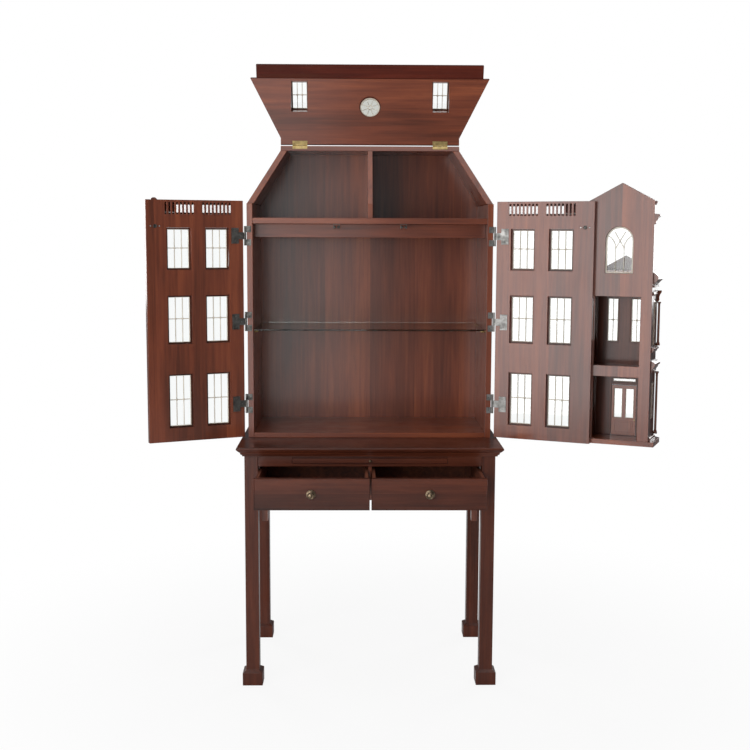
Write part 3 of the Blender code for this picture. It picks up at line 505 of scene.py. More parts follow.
bare = bpy.data.materials.new("bare_mahogany")
bare.use_nodes = True
bare_tree = bare.node_tree
bare_shader = bare_tree.nodes["Principled BSDF"]
bare_place = node(
    bare_tree, "ShaderNodeMapping",
    {"Vector": node(bare_tree, "ShaderNodeTexCoord").outputs["Object"],
     "Rotation": (QUARTER, 0, 0)},
).outputs[0]
bare_wood = use_group(bare_tree, figure, {
    "Place": bare_place, "Light": (0.32, 0.105, 0.048, 1), "Middle": (0.20, 0.058, 0.027, 1),
    "Dark": (0.105, 0.030, 0.016, 1),
})
bare_tree.links.new(bare_wood["Color"], bare_shader.inputs["Base Color"])
bare_tree.links.new(
    joined_values(bare_tree, "MULTIPLY", bare_wood["Polish"], 0.62), bare_shader.inputs["Roughness"]
)
bare_bump = node(
    bare_tree, "ShaderNodeBump",
    {"Height": bare_wood["Pores"], "Strength": 0.25, "Distance": 0.0004},
)
bare_tree.links.new(bare_bump.outputs[0], bare_shader.inputs["Normal"])


def framed(outline, wide, front, back, shape=None):
    """A frame round an outline in X and Z, wide across its members, from front to back in Y."""
    shape = shape or bmesh.new()
    face = shape.faces.new([shape.verts.new((x, front, z)) for x, z in outline])
    face.normal_update()
    inset = bmesh.ops.inset_individual(shape, faces=[face], thickness=wide, use_even_offset=True)
    bmesh.ops.delete(shape, geom=[face], context="FACES_ONLY")
    grown = bmesh.ops.extrude_face_region(shape, geom=inset["faces"])
    moved = [item for item in grown["geom"] if isinstance(item, bmesh.types.BMVert)]
    bmesh.ops.translate(shape, verts=moved, vec=(0, back - front, 0))
    return shape


def ring_frame(low, high, wide, front, back, shape=None):
    corners = [(low[0], low[1]), (high[0], low[1]), (high[0], high[1]), (low[0], high[1])]
    return framed(corners, wide, front, back, shape)


for side in ("left", "right"):
    finish_cad(f"{side}_drawer_front", dark_shaded_across, 0.0010)
    finish_cad(f"{side}_drawer_box", bare, 0.0008)
    low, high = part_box(f"{side}_drawer_front")
    bead = ring_frame(
        (low.x + 0.0004, low.z + 0.0004), (high.x - 0.0004, high.z - 0.0004), BEAD_WIDE,
        low.y - BEAD_PROUD, low.y + 0.0006,
    )
    add_piece(
        f"{side}_drawer_cock_bead", bead, dark_shaded_across, f"{side}_drawer",
        round_edge=0.0009,
    )
    knob_low, knob_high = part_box(f"{side}_drawer_knob")
    centre = Vector(((knob_low.x + knob_high.x) / 2, knob_high.y, (knob_low.z + knob_high.z) / 2))
    knob = turned(KNOB_PROFILE, 48)
    for k in range(ROSETTE_BEADS):
        turn = math.tau * k / ROSETTE_BEADS
        bmesh.ops.create_icosphere(
            knob, subdivisions=1, radius=0.0009,
            matrix=Matrix.Translation((0.0117 * math.cos(turn), 0.0117 * math.sin(turn), 0.0020)),
        )
    piece = add_piece(
        f"{side}_drawer_pull", knob, antique_brass, f"{side}_drawer", facing(centre, (0, -1, 0))
    )
    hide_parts(f"{side}_drawer_knob")


# Cabinet carcase.
# Solid mahogany boards glued and dowelled: sides and slopes with upright grain, floors and roof
# with the grain across, and a thin back made up of several leaves of veneer side by side.
backing = lacquered_mahogany("mahogany_veneer_back", (0, 0, 0), **{"Leaf width": 0.145})
for name in ("cabinet_side_left", "cabinet_side_right", "attic_divider"):
    finish_cad(name, upright_mahogany, 0.0010)
for name in ("roof_slope_left", "roof_slope_right"):
    finish_cad(name, upright_mahogany, 0.0010)
for name in ("cabinet_floor", "attic_floor", "valance_rail", "roof_top"):
    finish_cad(name, across_mahogany, 0.0010)
finish_cad("cabinet_back", backing, 0.0008)


# Glass shelf.
# One loose sheet of 5 mm float glass with arrised edges that look green, resting on four turned
# brass pegs pushed into the sides.
PEG_INSET = 0.045
PEG_REACH = 0.009


def clear_glass(name, tint, roughness):
    made = bpy.data.materials.new(name)
    made.use_nodes = True
    tree = made.node_tree
    shader = tree.nodes["Principled BSDF"]
    shader.inputs["Base Color"].default_value = (*tint, 1)
    shader.inputs["Transmission Weight"].default_value = 1.0
    shader.inputs["IOR"].default_value = 1.45
    where = node(tree, "ShaderNodeTexCoord").outputs["Object"]
    film = stretched_noise(tree, where, (1, 1, 1), 30, 4, 0.6)
    tree.links.new(
        ranged(tree, film, 0.45, 0.80, roughness, roughness + 0.05), shader.inputs["Roughness"]
    )
    return made


shelf_glass = clear_glass("float_glass", (0.80, 0.93, 0.88), 0.0)
finish_cad("glass_shelf", shelf_glass, 0.0006)
shelf_low, shelf_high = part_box("glass_shelf")
for side, wall, sign in (
    ("left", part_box("cabinet_side_left")[1].x, 1), ("right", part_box("cabinet_side_right")[0].x, -1)
):
    for place, y in (("front", shelf_low.y + PEG_INSET), ("back", shelf_high.y - PEG_INSET)):
        peg = turned((
            (0, 0), (.0042, 0), (.0044, .0008), (.0036, .0014), (.0026, .0018), (.0025, PEG_REACH - .001),
            (.0019, PEG_REACH), (0, PEG_REACH),
        ), 24)
        centre = (wall + sign * 0.0003, y, shelf_low.z - 0.0047)
        add_piece(
            f"shelf_peg_{place}_{side}", peg, brass, "cabinet", facing(centre, (sign, 0, 0))
        )


# Catches.
# Two double-ball catches of plated steel are screwed under the attic floor: a folded clip holds
# two sprung balls, and the strike on each door pushes in between them.
STEEL_BRIGHT = (0.52, 0.51, 0.49)
STEEL_DULL = (0.20, 0.20, 0.205)
steel = patinated("plated_steel", STEEL_BRIGHT, STEEL_DULL, 0.30, 45)
dark_steel = patinated("darkened_steel", (0.16, 0.155, 0.145), (0.055, 0.052, 0.048), 0.38, 45)
worn_steel = patinated("worn_steel", (0.26, 0.255, 0.245), (0.12, 0.117, 0.11), 0.36, 45)
for side in ("left", "right"):
    low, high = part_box(f"{side}_catch")
    middle = (low.x + high.x) / 2
    clip = block((middle - 0.0095, low.y + 0.001, high.z - 0.0014), (middle + 0.0095, high.y, high.z))
    for sign in (-1, 1):
        wall = sorted((middle + sign * 0.0095, middle + sign * 0.0082))
        block((wall[0], low.y + 0.002, low.z + 0.0004), (wall[1], high.y - 0.004, high.z), clip)
        bmesh.ops.create_uvsphere(
            clip, u_segments=18, v_segments=12, radius=0.0040,
            matrix=Matrix.Translation((middle + sign * 0.0052, low.y + 0.0085, low.z + 0.0058)),
        )
        block(
            (middle + sign * 0.0052 - 0.0022, low.y + 0.012, low.z + 0.0036),
            (middle + sign * 0.0052 + 0.0022, high.y - 0.003, low.z + 0.0080), clip,
        )
    piece = add_piece(
        f"{side}_ball_catch", clip, dark_steel, "cabinet", round_edge=0.0004
    )
    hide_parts(f"{side}_catch")


# Door panels.
# Each half of the façade is a mahogany board 18 mm thick, cut through for six windows and a row of
# balustrade slots, and hung so that it opens past the side of the cabinet.
WINDOW_WIDE = 0.0725
WINDOW_FROM_PIN = (0.085, 0.1995)
WINDOW_FEET = (0.7565, 1.0025, 1.2175)
WINDOW_HEADS = (0.9145, 1.1435, 1.3385)
joints = {joint["name"]: joint for joint in frame["joints"]}


def opening_turn(joint_name):
    """Matrix that carries a piece modelled with its door or flap shut to where it stands at rest."""
    joint = joints[joint_name]
    pin = Vector(joint["pos_m"])
    turn = Matrix.Rotation(-math.radians(joint["range_deg"][1]), 4, Vector(joint["axis"]))
    return Matrix.Translation(pin) @ turn @ Matrix.Translation(-pin)


def shut_box(name, turn):
    """Lowest and highest corner of a packed board when its door or flap is shut."""
    back = turn.inverted()
    places = [back @ vert.co for vert in frame["nodes"][name].data.vertices]
    low = Vector(min(place[k] for place in places) for k in range(3))
    high = Vector(max(place[k] for place in places) for k in range(3))
    return low, high


doors = {}
for side, sign in (("left", -1), ("right", 1)):
    finish_cad(f"{side}_door", upright_mahogany, 0.0007)
    turn = opening_turn(f"{side}_door_hinge")
    low, high = shut_box(f"{side}_door", turn)
    doors[side] = {
        "sign": sign, "turn": turn, "pin": joints[f"{side}_door_hinge"]["pos_m"][0],
        "outer": low.y, "inner": high.y, "foot": low.z, "head": high.z,
    }


# Windows of the façade.
# Each hole holds a lacquered sash frame from the outside, and in it ivory-painted limewood: two
# upright bars and a crossbar with a small boss at each crossing, glazed with thin picture glass.
SASH_FRAME = 0.0042
SASH_WIDE = 0.0012
SASH_DEEP = 0.0050
BAR_WIDE = 0.0026
BAR_DEEP = 0.0034
BOSS = 0.0034
PANE_THICK = 0.0012
IVORY = (0.66, 0.60, 0.50)
IVORY_SHADE = (0.38, 0.31, 0.23)

ivory = bpy.data.materials.new("ivory_paint")
ivory.use_nodes = True
ivory_tree = ivory.node_tree
ivory_shader = ivory_tree.nodes["Principled BSDF"]
ivory_place = node(ivory_tree, "ShaderNodeTexCoord").outputs["Object"]
brushing = stretched_noise(ivory_tree, ivory_place, (1, 1, 0.12), 420, 3, 0.6)
yellowing = stretched_noise(ivory_tree, ivory_place, (1, 1, 1), 22, 4, 0.6)
ivory_tree.links.new(
    node(
        ivory_tree, "ShaderNodeMix",
        {0: ranged(ivory_tree, yellowing, 0.40, 0.75, 0, 0.6), 6: (*IVORY, 1),
         7: (*IVORY_SHADE, 1)}, data_type="RGBA",
    ).outputs[2], ivory_shader.inputs["Base Color"],
)
ivory_tree.links.new(
    ranged(ivory_tree, brushing, 0.3, 0.7, 0.34, 0.48), ivory_shader.inputs["Roughness"]
)
ivory_bump = node(
    ivory_tree, "ShaderNodeBump", {"Height": brushing, "Strength": 0.15, "Distance": 0.0003}
)
ivory_tree.links.new(ivory_bump.outputs[0], ivory_shader.inputs["Normal"])
pane_glass = clear_glass("picture_glass", (0.97, 0.985, 0.98), 0.0)


def half_round_bar(start, end, wide, deep, shape):
    """A glazing bar between two points in X and Z, rounded on the side that faces the room."""
    start, end = Vector(start), Vector(end)
    length = (end - start).length
    made = bmesh.ops.create_cone(
        shape, cap_ends=True, segments=10, radius1=0.5, radius2=0.5, depth=1.0
    )["verts"]
    side = (end - start).normalized()
    facing_room = Vector((0, 1, 0))
    across = side.cross(facing_room)
    frame_of_bar = Matrix((across * wide, facing_room * deep, side * length)).transposed().to_4x4()
    bmesh.ops.transform(
        shape, matrix=Matrix.Translation((start + end) / 2) @ frame_of_bar, verts=made
    )


def boss(place, radius, shape):
    bmesh.ops.create_uvsphere(
        shape, u_segments=10, v_segments=6, radius=radius,
        matrix=Matrix.Translation(place) @ Matrix.Diagonal((1, 0.9, 1, 1)),
    )


def barred_sash(low, high, back, uprights, crossbars, sash=SASH_WIDE, bar=BAR_WIDE):
    """Sash frame and bars filling an opening between low and high (X, Z); back is its outer Y."""
    shape = ring_frame(low, high, sash, back, back + SASH_DEEP)
    y = back + SASH_DEEP * 0.55
    xs = [low[0] + (high[0] - low[0]) * (k + 1) / (uprights + 1) for k in range(uprights)]
    zs = [low[1] + (high[1] - low[1]) * share for share in crossbars]
    for x in xs:
        half_round_bar((x, y, low[1] + sash / 2), (x, y, high[1] - sash / 2), bar, BAR_DEEP, shape)
    for z in zs:
        half_round_bar((low[0] + sash / 2, y, z), (high[0] - sash / 2, y, z), bar, BAR_DEEP, shape)
        for x in xs:
            boss((x, y, z), BOSS, shape)
    return shape


def pane(low, high, y, inset=0.0016):
    return block((low[0] + inset, y, low[1] + inset), (high[0] - inset, y + PANE_THICK, high[1] - inset))


def glazed_sash(
    name, low, high, back, body, turn, uprights, crossbars, frame_wide=SASH_FRAME, bar=BAR_WIDE,
    frame_deep=0.0078,
):
    """Darker frame, its colour partly painted shade of the deep reveal, ivory bars and pane that fill an
    opening; back is the pane's outer Y.
    """
    surround = ring_frame(low, high, frame_wide, back + 0.0014, back + 0.0014 + frame_deep)
    # The frame's darker colour is partly painted shade of the deep reveal, partly the dark brown moulding.
    add_piece(
        f"{name}_frame", surround, dark_shaded_upright, body, turn=turn, round_edge=0.0004
    )
    inset = frame_wide + 0.0001
    bars = barred_sash(
        (low[0] + inset, low[1] + inset), (high[0] - inset, high[1] - inset), back + 0.0016,
        uprights, crossbars, SASH_WIDE, bar,
    )
    add_piece(f"{name}_bars", bars, ivory, body, turn=turn)
    add_piece(
        f"{name}_pane", pane(low, high, back), pane_glass, body, turn=turn, smooth=False,
        round_edge=0.0002,
    )


for side, door in doors.items():
    number = 0
    for foot, head in zip(WINDOW_FEET, WINDOW_HEADS):
        for column in WINDOW_FROM_PIN:
            number += 1
            middle = door["pin"] - door["sign"] * column
            half = WINDOW_WIDE / 2 - 0.0003
            low, high = (middle - half, foot + 0.0003), (middle + half, head - 0.0003)
            glazed_sash(
                f"{side}_window_{number}", low, high, door["outer"] + 0.0008, f"{side}_door",
                door["turn"], 2, (0.52,),
            )


# Façade outside.
# Mahogany mouldings planted on the doors' outer faces: a plinth, two string courses, the main
# cornice, the parapet's rails and pier, and an architrave, sill and lintel round each window.
ARCHITRAVE_WIDE = 0.0085
ARCHITRAVE_PROUD = 0.0035
PARAPET_PIER = (0.0100, 0.0570)     # from the free edge
CORNICE = ((0.0, 1.3520), (0.0040, 1.3550), (0.0050, 1.3610), (0.0105, 1.3690), (0.0120, 1.3740),
           (0.0150, 1.3765), (0.0150, 1.3805), (0.0, 1.3825))
COPING = ((0.0, 1.4045), (0.0045, 1.4065), (0.0060, 1.4100), (0.0060, 1.4145), (0.0, 1.4170))
STRING_LOW = ((0.0, 0.9500), (0.0035, 0.9520), (0.0050, 0.9560), (0.0050, 0.9600), (0.0, 0.9620))
STRING_HIGH = ((0.0, 1.1740), (0.0035, 1.1760), (0.0050, 1.1800), (0.0050, 1.1840), (0.0, 1.1860))
PLINTH = ((0.0, 0.7175), (0.0060, 0.7175), (0.0060, 0.7360), (0.0035, 0.7400), (0.0, 0.7420))


def moulding(profile, x0, x1, face, shape=None):
    """A moulding planted on a face at Y = face, drawn as (proud, height) and run from x0 to x1."""
    shape = shape or bmesh.new()
    section = shape.faces.new([shape.verts.new((x0, face - out, z)) for out, z in profile])
    grown = bmesh.ops.extrude_face_region(shape, geom=[section])
    moved = [item for item in grown["geom"] if isinstance(item, bmesh.types.BMVert)]
    bmesh.ops.translate(shape, verts=moved, vec=(x1 - x0, 0, 0))
    return shape


EDGE_CLEAR = 0.0395                 # keeps the bay's overlap free, from each door's free edge
for side, door in doors.items():
    sign, turn, face = door["sign"], door["turn"], door["outer"] - 0.0001
    low, high = shut_box(f"{side}_door", turn)
    hinge_edge = (high.x if sign > 0 else low.x) - sign * 0.001
    free_edge = low.x if sign > 0 else high.x
    for name, profile, start in (
        ("plinth", PLINTH, EDGE_CLEAR), ("lower_string_course", STRING_LOW, EDGE_CLEAR),
        ("upper_string_course", STRING_HIGH, EDGE_CLEAR), ("main_cornice", CORNICE, EDGE_CLEAR),
        ("parapet_coping", COPING, PARAPET_PIER[0] + 0.0225),
    ):
        run = moulding(profile, free_edge + sign * start, hinge_edge, face)
        add_piece(
            f"{side}_{name}", run, across_mahogany, f"{side}_door", turn=turn,
            round_edge=0.0004,
        )
    near, far = (free_edge + sign * (0.0305 + k) for k in (0, 0.0545))
    pier = block((min(near, far), face - 0.0085, 1.3830), (max(near, far), face, 1.4178))
    if side == "left":
        cap = free_edge - 0.0298
        block((cap - 0.0090, face - 0.0075, 1.4178), (cap + 0.0090, face + 0.0020, 1.4198), pier)
        bmesh.ops.create_uvsphere(
            pier, u_segments=20, v_segments=10, radius=0.0085,
            matrix=Matrix.Translation((cap, face - 0.0028, 1.4196)) @ Matrix.Diagonal((1, 0.5, 0.6, 1)),
        )
    add_piece(
        f"{side}_parapet_pier", pier, upright_mahogany, f"{side}_door", turn=turn,
        round_edge=0.0006,
    )
    number = 0
    for foot, head in zip(WINDOW_FEET, WINDOW_HEADS):
        for column in WINDOW_FROM_PIN:
            number += 1
            middle = door["pin"] - sign * column
            half = WINDOW_WIDE / 2
            surround = ring_frame(
                (middle - half - ARCHITRAVE_WIDE, foot - 0.004),
                (middle + half + ARCHITRAVE_WIDE, head + ARCHITRAVE_WIDE),
                ARCHITRAVE_WIDE, face - ARCHITRAVE_PROUD, face,
            )
            wide = half + ARCHITRAVE_WIDE + 0.003
            block(
                (middle - wide, face - 0.0085, foot - 0.0095),
                (middle + wide, face, foot - 0.0042), surround,
            )
            lintel_foot = head + ARCHITRAVE_WIDE + 0.0002
            block(
                (middle - wide, face - 0.0070, lintel_foot), (middle + wide, face, lintel_foot + 0.0040),
                surround,
            )
            block(
                (middle - wide + 0.004, face - 0.0045, lintel_foot + 0.0041),
                (middle + wide - 0.004, face, lintel_foot + 0.0072), surround,
            )
            add_piece(
                f"{side}_surround_{number}", surround, upright_mahogany, f"{side}_door",
                turn=turn, round_edge=0.0005,
            )


# Door hinges.
# Three flush hinges of plated steel to a door: the door leaf flares past the neck that lies between
# the wings of the carcase leaf, and each leaf is held by countersunk slotted screws.
SCREW_HEAD = 0.0026
for side in ("left", "right"):
    for number in (1, 2, 3):
        for leaf in ("fixed_leaf", "door_leaf"):
            finish_cad(f"{side}_hinge_{number}_{leaf}", worn_steel if side == "right" else dark_steel, 0)


def screw(place, out, radius, shape, slot_turn=0.6):
    """A countersunk slotted head, domed a little, standing out of a leaf at a place."""
    head = bmesh.new()
    verts = [head.verts.new((r, 0, h)) for r, h in (
        (0, -0.0002), (radius * 0.97, -0.0002), (radius, 0.0001), (radius * 0.80, 0.0003),
        (0, 0.0005),
    )]
    edges = [head.edges.new(pair) for pair in zip(verts, verts[1:])]
    bmesh.ops.spin(
        head, geom=verts + edges, cent=(0, 0, 0), axis=(0, 0, 1), angle=math.tau, steps=16,
        use_merge=True,
    )
    bmesh.ops.remove_doubles(head, verts=head.verts, dist=1e-7)
    bmesh.ops.rotate(
        head, verts=head.verts, cent=(0, 0, 0), matrix=Matrix.Rotation(slot_turn, 3, "Z")
    )
    for offset in (-radius * 0.13, radius * 0.13):
        bmesh.ops.bisect_plane(
            head, geom=head.verts[:] + head.edges[:] + head.faces[:], dist=1e-7,
            plane_co=(offset, 0, 0), plane_no=(1, 0, 0),
        )
    bottom = [
        face for face in head.faces
        if abs(face.calc_center_median().x) < radius * 0.13 and face.normal.z > 0.5
    ]
    if bottom:
        cut = bmesh.ops.extrude_face_region(head, geom=bottom)
        moved = [item for item in cut["geom"] if isinstance(item, bmesh.types.BMVert)]
        bmesh.ops.delete(head, geom=bottom, context="FACES_ONLY")
        bmesh.ops.translate(head, verts=moved, vec=(0, 0, -0.0004))
    bmesh.ops.transform(head, matrix=facing(place, out), verts=head.verts)
    mesh = bpy.data.meshes.new("screw")
    head.to_mesh(mesh)
    head.free()
    shape.from_mesh(mesh)
    bpy.data.meshes.remove(mesh)


for side, door in doors.items():
    sign, turn = door["sign"], door["turn"]
    metal = dark_steel if side == "right" else worn_steel
    for number in (1, 2, 3):
        low, high = shut_box(f"{side}_hinge_{number}_door_leaf", turn)
        middle = (low.z + high.z) / 2
        leaf_screws = bmesh.new()
        for from_pin, up in ((0.031, 0.0155), (0.031, -0.0155), (0.0135, 0.0)):
            place = (door["pin"] - sign * from_pin, high.y - 0.0031, middle + up)
            screw(place, (0, 1, 0), SCREW_HEAD, leaf_screws, 0.5 + number + up * 90)
        add_piece(
            f"{side}_hinge_{number}_door_screws", leaf_screws, metal, f"{side}_door",
            turn=turn,
        )
        low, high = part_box(f"{side}_hinge_{number}_fixed_leaf")
        wing_screws = bmesh.new()
        for up in (0.0195, -0.0195):
            place = (door["pin"] - sign * 0.0115, door["inner"] + 0.0006, middle + up)
            screw(place, (0, -1, 0), SCREW_HEAD * 0.85, wing_screws, 1.1 + number + up * 70)
        add_piece(
            f"{side}_hinge_{number}_wing_screws", wing_screws, metal, "cabinet"
        )


# Strikes.
# A round cup with a spear in its middle, and a screw on each side of it, on the inner face of each
# door near its free edge; the spear pushes in between the balls of the catch.
STRIKE_HEIGHT = 1.3430
STRIKE_SCREWS = 0.0130
for side, door in doors.items():
    catch_low, catch_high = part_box(f"{side}_catch")
    x = (catch_low.x + catch_high.x) / 2
    face = door["inner"]
    cup = turned((
        (0, 0.0002), (.0055, .0002), (.0055, .0011), (.0049, .0016), (.0042, .0013), (.0030, .0007),
        (.0016, .0007), (.0013, .0035), (.0015, .0048), (.0009, .0060), (0, .0063),
    ), 28)
    bmesh.ops.transform(cup, matrix=facing((x, face, STRIKE_HEIGHT), (0, 1, 0)), verts=cup.verts)
    add_piece(
        f"{side}_strike", cup, dark_steel, f"{side}_door", turn=door["turn"]
    )
    strike_screws = bmesh.new()
    for shift in (-STRIKE_SCREWS, STRIKE_SCREWS):
        screw(
            (x + shift, face + 0.0003, STRIKE_HEIGHT), (0, 1, 0), 0.0021, strike_screws,
            0.4 + shift * 60,
        )
    add_piece(
        f"{side}_strike_screws", strike_screws, steel, f"{side}_door",
        turn=door["turn"],
    )


# Entrance bay.
# A bay of thin mahogany boards planted on the right door, its front corners slightly canted: a
# gabled board behind, two rooms with their floors, a base slab and a sloping roof, glued and pinned.
finish_cad("bay_frame", upright_mahogany, 0.0006)
finish_cad("bay_walls", dark_shaded_upright, 0.0006)
for name in ("bay_base", "bay_middle_floor", "bay_cornice"):
    finish_cad(name, across_mahogany, 0.0006)
bay_turn = doors["right"]["turn"]
board_low, board_high = shut_box("bay_frame", bay_turn)
wall_low, wall_high = shut_box("bay_walls", bay_turn)
_, bay_roof_high = shut_box("bay_cornice", bay_turn)
bay_middle = (board_low.x + board_high.x) / 2
BAY_CANT = 0.010
CANT_GROWTH = 2 - math.sqrt(2)


def bay_plan(out, path="whole"):
    """The bay's outline in X and Y, grown outwards; a half path stops beside the entrance."""
    left, right = wall_low.x - out, wall_high.x + out
    front, back = wall_low.y - out, wall_high.y
    cant = BAY_CANT + out * CANT_GROWTH
    whole = [
        (left, back), (left, front + cant), (left + cant, front), (right - cant, front),
        (right, front + cant), (right, back),
    ]
    if path == "left":
        return whole[:3] + [(bay_middle - 0.0525, front)]
    if path == "right":
        return [(bay_middle + 0.0445, front)] + whole[3:]
    return whole


def board_plan(out):
    """The gabled board's outline in X and Y, grown outwards: two returns and its front."""
    left, right = board_low.x - out, board_high.x + out
    front, back = board_low.y - out, board_high.y
    return [(left, back), (left, front), (right, front), (right, back)]


def belt(profile, plan):
    """A moulding of (proud, height) points swept round a plan, mitred at its corners."""
    shape = bmesh.new()
    rings = []
    for k in range(len(plan(0.0))):
        verts = [shape.verts.new((*plan(out)[k], z)) for out, z in profile]
        edges = [shape.edges.new((a, b)) for a, b in zip(verts, verts[1:] + verts[:1])]
        rings.append((verts, edges))
    for (_, edges), (_, following) in zip(rings, rings[1:]):
        bmesh.ops.bridge_loops(shape, edges=edges + following)
    for verts, _ in (rings[0], rings[-1]):
        shape.faces.new(verts)
    return shape


BAY_BELTS = {
    "bay_plinth_left": (
        ((.0002, .7304), (.0050, .7304), (.0050, .7380), (.0030, .7410), (.0002, .7425)), "left",
    ),
    "bay_plinth_right": (
        ((.0002, .7304), (.0050, .7304), (.0050, .7380), (.0030, .7410), (.0002, .7425)), "right",
    ),
    "bay_middle_cornice": (((.0002, .9270), (.0020, .9290), (.0030, .9360), (.0070, .9420), (.0085, .9470),
                            (.0125, .9500), (.0125, .9560), (.0090, .9600), (.0002, .9640)), "whole"),
    "bay_window_sill": (((.0002, .9860), (.0030, .9880), (.0045, .9930), (.0080, .9950), (.0080, 1.0000),
                         (.0050, 1.0020), (.0002, 1.0030)), "whole"),
    "bay_architrave": (((.0002, 1.1500), (.0030, 1.1510), (.0045, 1.1550), (.0030, 1.1570), (.0030, 1.1600),
                        (.0002, 1.1620)), "whole"),
}
for name, (profile, path) in BAY_BELTS.items():
    shape = belt(profile, lambda out, path=path: bay_plan(out, path))
    add_piece(name, shape, across_mahogany, "right_door", turn=bay_turn, round_edge=0.0004)
add_piece(
    "bay_main_cornice", belt(CORNICE, board_plan), across_mahogany, "right_door",
    turn=bay_turn, round_edge=0.0004,
)

# Dentils under the bay's roof and a scroll console at each corner
DENTIL = (0.0034, 0.0042, 0.0065)
DENTIL_PITCH = 0.0072
dentils = bmesh.new()
ends = bay_plan(0.0002)
for (x0, y0), (x1, y1) in zip(ends, ends[1:]):
    start, finish = Vector((x0, y0, 0)), Vector((x1, y1, 0))
    run = (finish - start).length
    count = max(1, int(run / DENTIL_PITCH))
    side = (finish - start).normalized()
    outwards = Vector((side.y, -side.x, 0))
    for k in range(count):
        centre = start + side * run * (k + 0.5) / count + outwards * (DENTIL[1] / 2 + 0.0001)
        centre.z = wall_high.z - DENTIL[2] / 2 - 0.0006
        made = bmesh.ops.create_cube(dentils, size=1.0)["verts"]
        bmesh.ops.transform(
            dentils, verts=made, matrix=Matrix.Translation(centre) @ Matrix((
                (side.x, outwards.x, 0, 0), (side.y, outwards.y, 0, 0), (0, 0, 1, 0), (0, 0, 0, 1)
            )) @ Matrix.Diagonal((*DENTIL, 1)),
        )
add_piece("bay_dentils", dentils, across_mahogany, "right_door", turn=bay_turn)

CONSOLE = ((0, 1.1630), (.0125, 1.1630), (.0125, 1.1590), (.0110, 1.1555), (.0085, 1.1520), (.0065, 1.1470),
           (.0060, 1.1410), (.0066, 1.1370), (.0052, 1.1330), (.0025, 1.1305), (0, 1.1300))
corners = bay_plan(0.0002)
consoles = bmesh.new()
for k, (ox, oy) in ((1, (-0.92, -0.38)), (2, (-0.38, -0.92)), (3, (0.38, -0.92)), (4, (0.92, -0.38))):
    outwards = Vector((ox, oy, 0)).normalized()
    across = Vector((-outwards.y, outwards.x, 0))
    base = Vector((*corners[k], 0)) - outwards * 0.0012
    section = consoles.faces.new([
        consoles.verts.new(base + outwards * out - across * 0.0030 + Vector((0, 0, z)))
        for out, z in CONSOLE
    ])
    grown = bmesh.ops.extrude_face_region(consoles, geom=[section])
    moved = [item for item in grown["geom"] if isinstance(item, bmesh.types.BMVert)]
    bmesh.ops.translate(consoles, verts=moved, vec=across * 0.0060)
add_piece(
    "bay_consoles", consoles, upright_mahogany, "right_door", turn=bay_turn,
    round_edge=0.0006,
)

# Slender turned columns at the corners, one above the other
COLUMN = ((0, 0), (.0056, 0), (.0056, .0050), (.0050, .0060), (.0052, .0075), (.0042, .0095),
          (.0036, .0110), (.0035, .50), (.0031, .93), (.0036, .94), (.0031, .945), (.0034, .957),
          (.0048, .975), (.0054, .978), (.0054, 1.0), (0, 1.0))
for storey, foot, head in (("ground", 0.7426, 0.9268), ("upper", 1.0031, 1.1298)):
    columns = bmesh.new()
    for x, y in bay_plan(0.0052)[1:5]:
        height = head - foot
        profile = [(r, h if h <= 0.0110 else h * height) for r, h in COLUMN]
        made = turned(profile, 20)
        bmesh.ops.translate(made, verts=made.verts, vec=(x, y, foot))
        mesh = bpy.data.meshes.new("column")
        made.to_mesh(mesh)
        made.free()
        columns.from_mesh(mesh)
        bpy.data.meshes.remove(mesh)
    add_piece(
        f"bay_columns_{storey}", columns, upright_mahogany, "right_door", turn=bay_turn
    )

# Raking cornice on the gable, and the pointed pediment that stands on the bay's roof
rake = bmesh.new()
eaves_z, apex_z = 1.419, board_high.z
for sign in (-1, 1):
    eave = Vector((bay_middle + sign * (board_high.x - bay_middle), 0, eaves_z))
    apex = Vector((bay_middle, 0, apex_z))
    down = (eave - apex).normalized()
    eave = eave + down * 0.0070
    normal = Vector((abs(down.z) * sign, 0, abs(down.x)))
    section = [(0.0, -0.0110), (0.0030, -0.0110), (0.0045, -0.0070), (0.0080, -0.0040),
               (0.0095, -0.0002), (0.0, -0.0002)]
    rings = []
    for end in (apex, eave):
        verts = []
        for out, up in section:
            shifted = end + normal * up
            if end is apex:
                shifted.x = bay_middle
                shifted.z = apex_z + up / abs(normal.z)
            verts.append(rake.verts.new((shifted.x, board_low.y - 0.0001 - out, shifted.z)))
        edges = [rake.edges.new((a, b)) for a, b in zip(verts, verts[1:] + verts[:1])]
        rings.append((verts, edges))
    bmesh.ops.bridge_loops(rake, edges=rings[0][1] + rings[1][1])
    for verts, _ in rings:
        rake.faces.new(verts)
add_piece("gable_raking_cornice", rake, across_mahogany, "right_door", turn=bay_turn)

PEDIMENT_HALF = 0.064
PEDIMENT_RISE = 0.036
pediment = bmesh.new()
foot_z = bay_roof_high.z + 0.0002
arc = [(bay_middle - PEDIMENT_HALF, foot_z), (bay_middle + PEDIMENT_HALF, foot_z),
       (bay_middle + PEDIMENT_HALF, foot_z + 0.006), (bay_middle, foot_z + 0.006 + PEDIMENT_RISE),
       (bay_middle - PEDIMENT_HALF, foot_z + 0.006)]
front = wall_low.y + 0.010
section = pediment.faces.new([pediment.verts.new((x, front, z)) for x, z in arc])
grown = bmesh.ops.extrude_face_region(pediment, geom=[section])
moved = [item for item in grown["geom"] if isinstance(item, bmesh.types.BMVert)]
bmesh.ops.translate(pediment, verts=moved, vec=(0, 0.007, 0))
add_piece(
    "bay_pediment", pediment, dark_shaded_across, "right_door", turn=bay_turn,
    round_edge=0.0008,
)


# Bay windows.
# Ivory sashes like the façade's: one upright and a crossbar in each narrow light, set in the front
# wall and in the free side wall from outside, and a round-headed one with crossed tracery above.
ARCH_HALF = 0.040
ARCH_SHIFT = 0.004
ARCH_FOOT = 1.213
ARCH_HEAD = 1.346
TRACERY = 0.0011


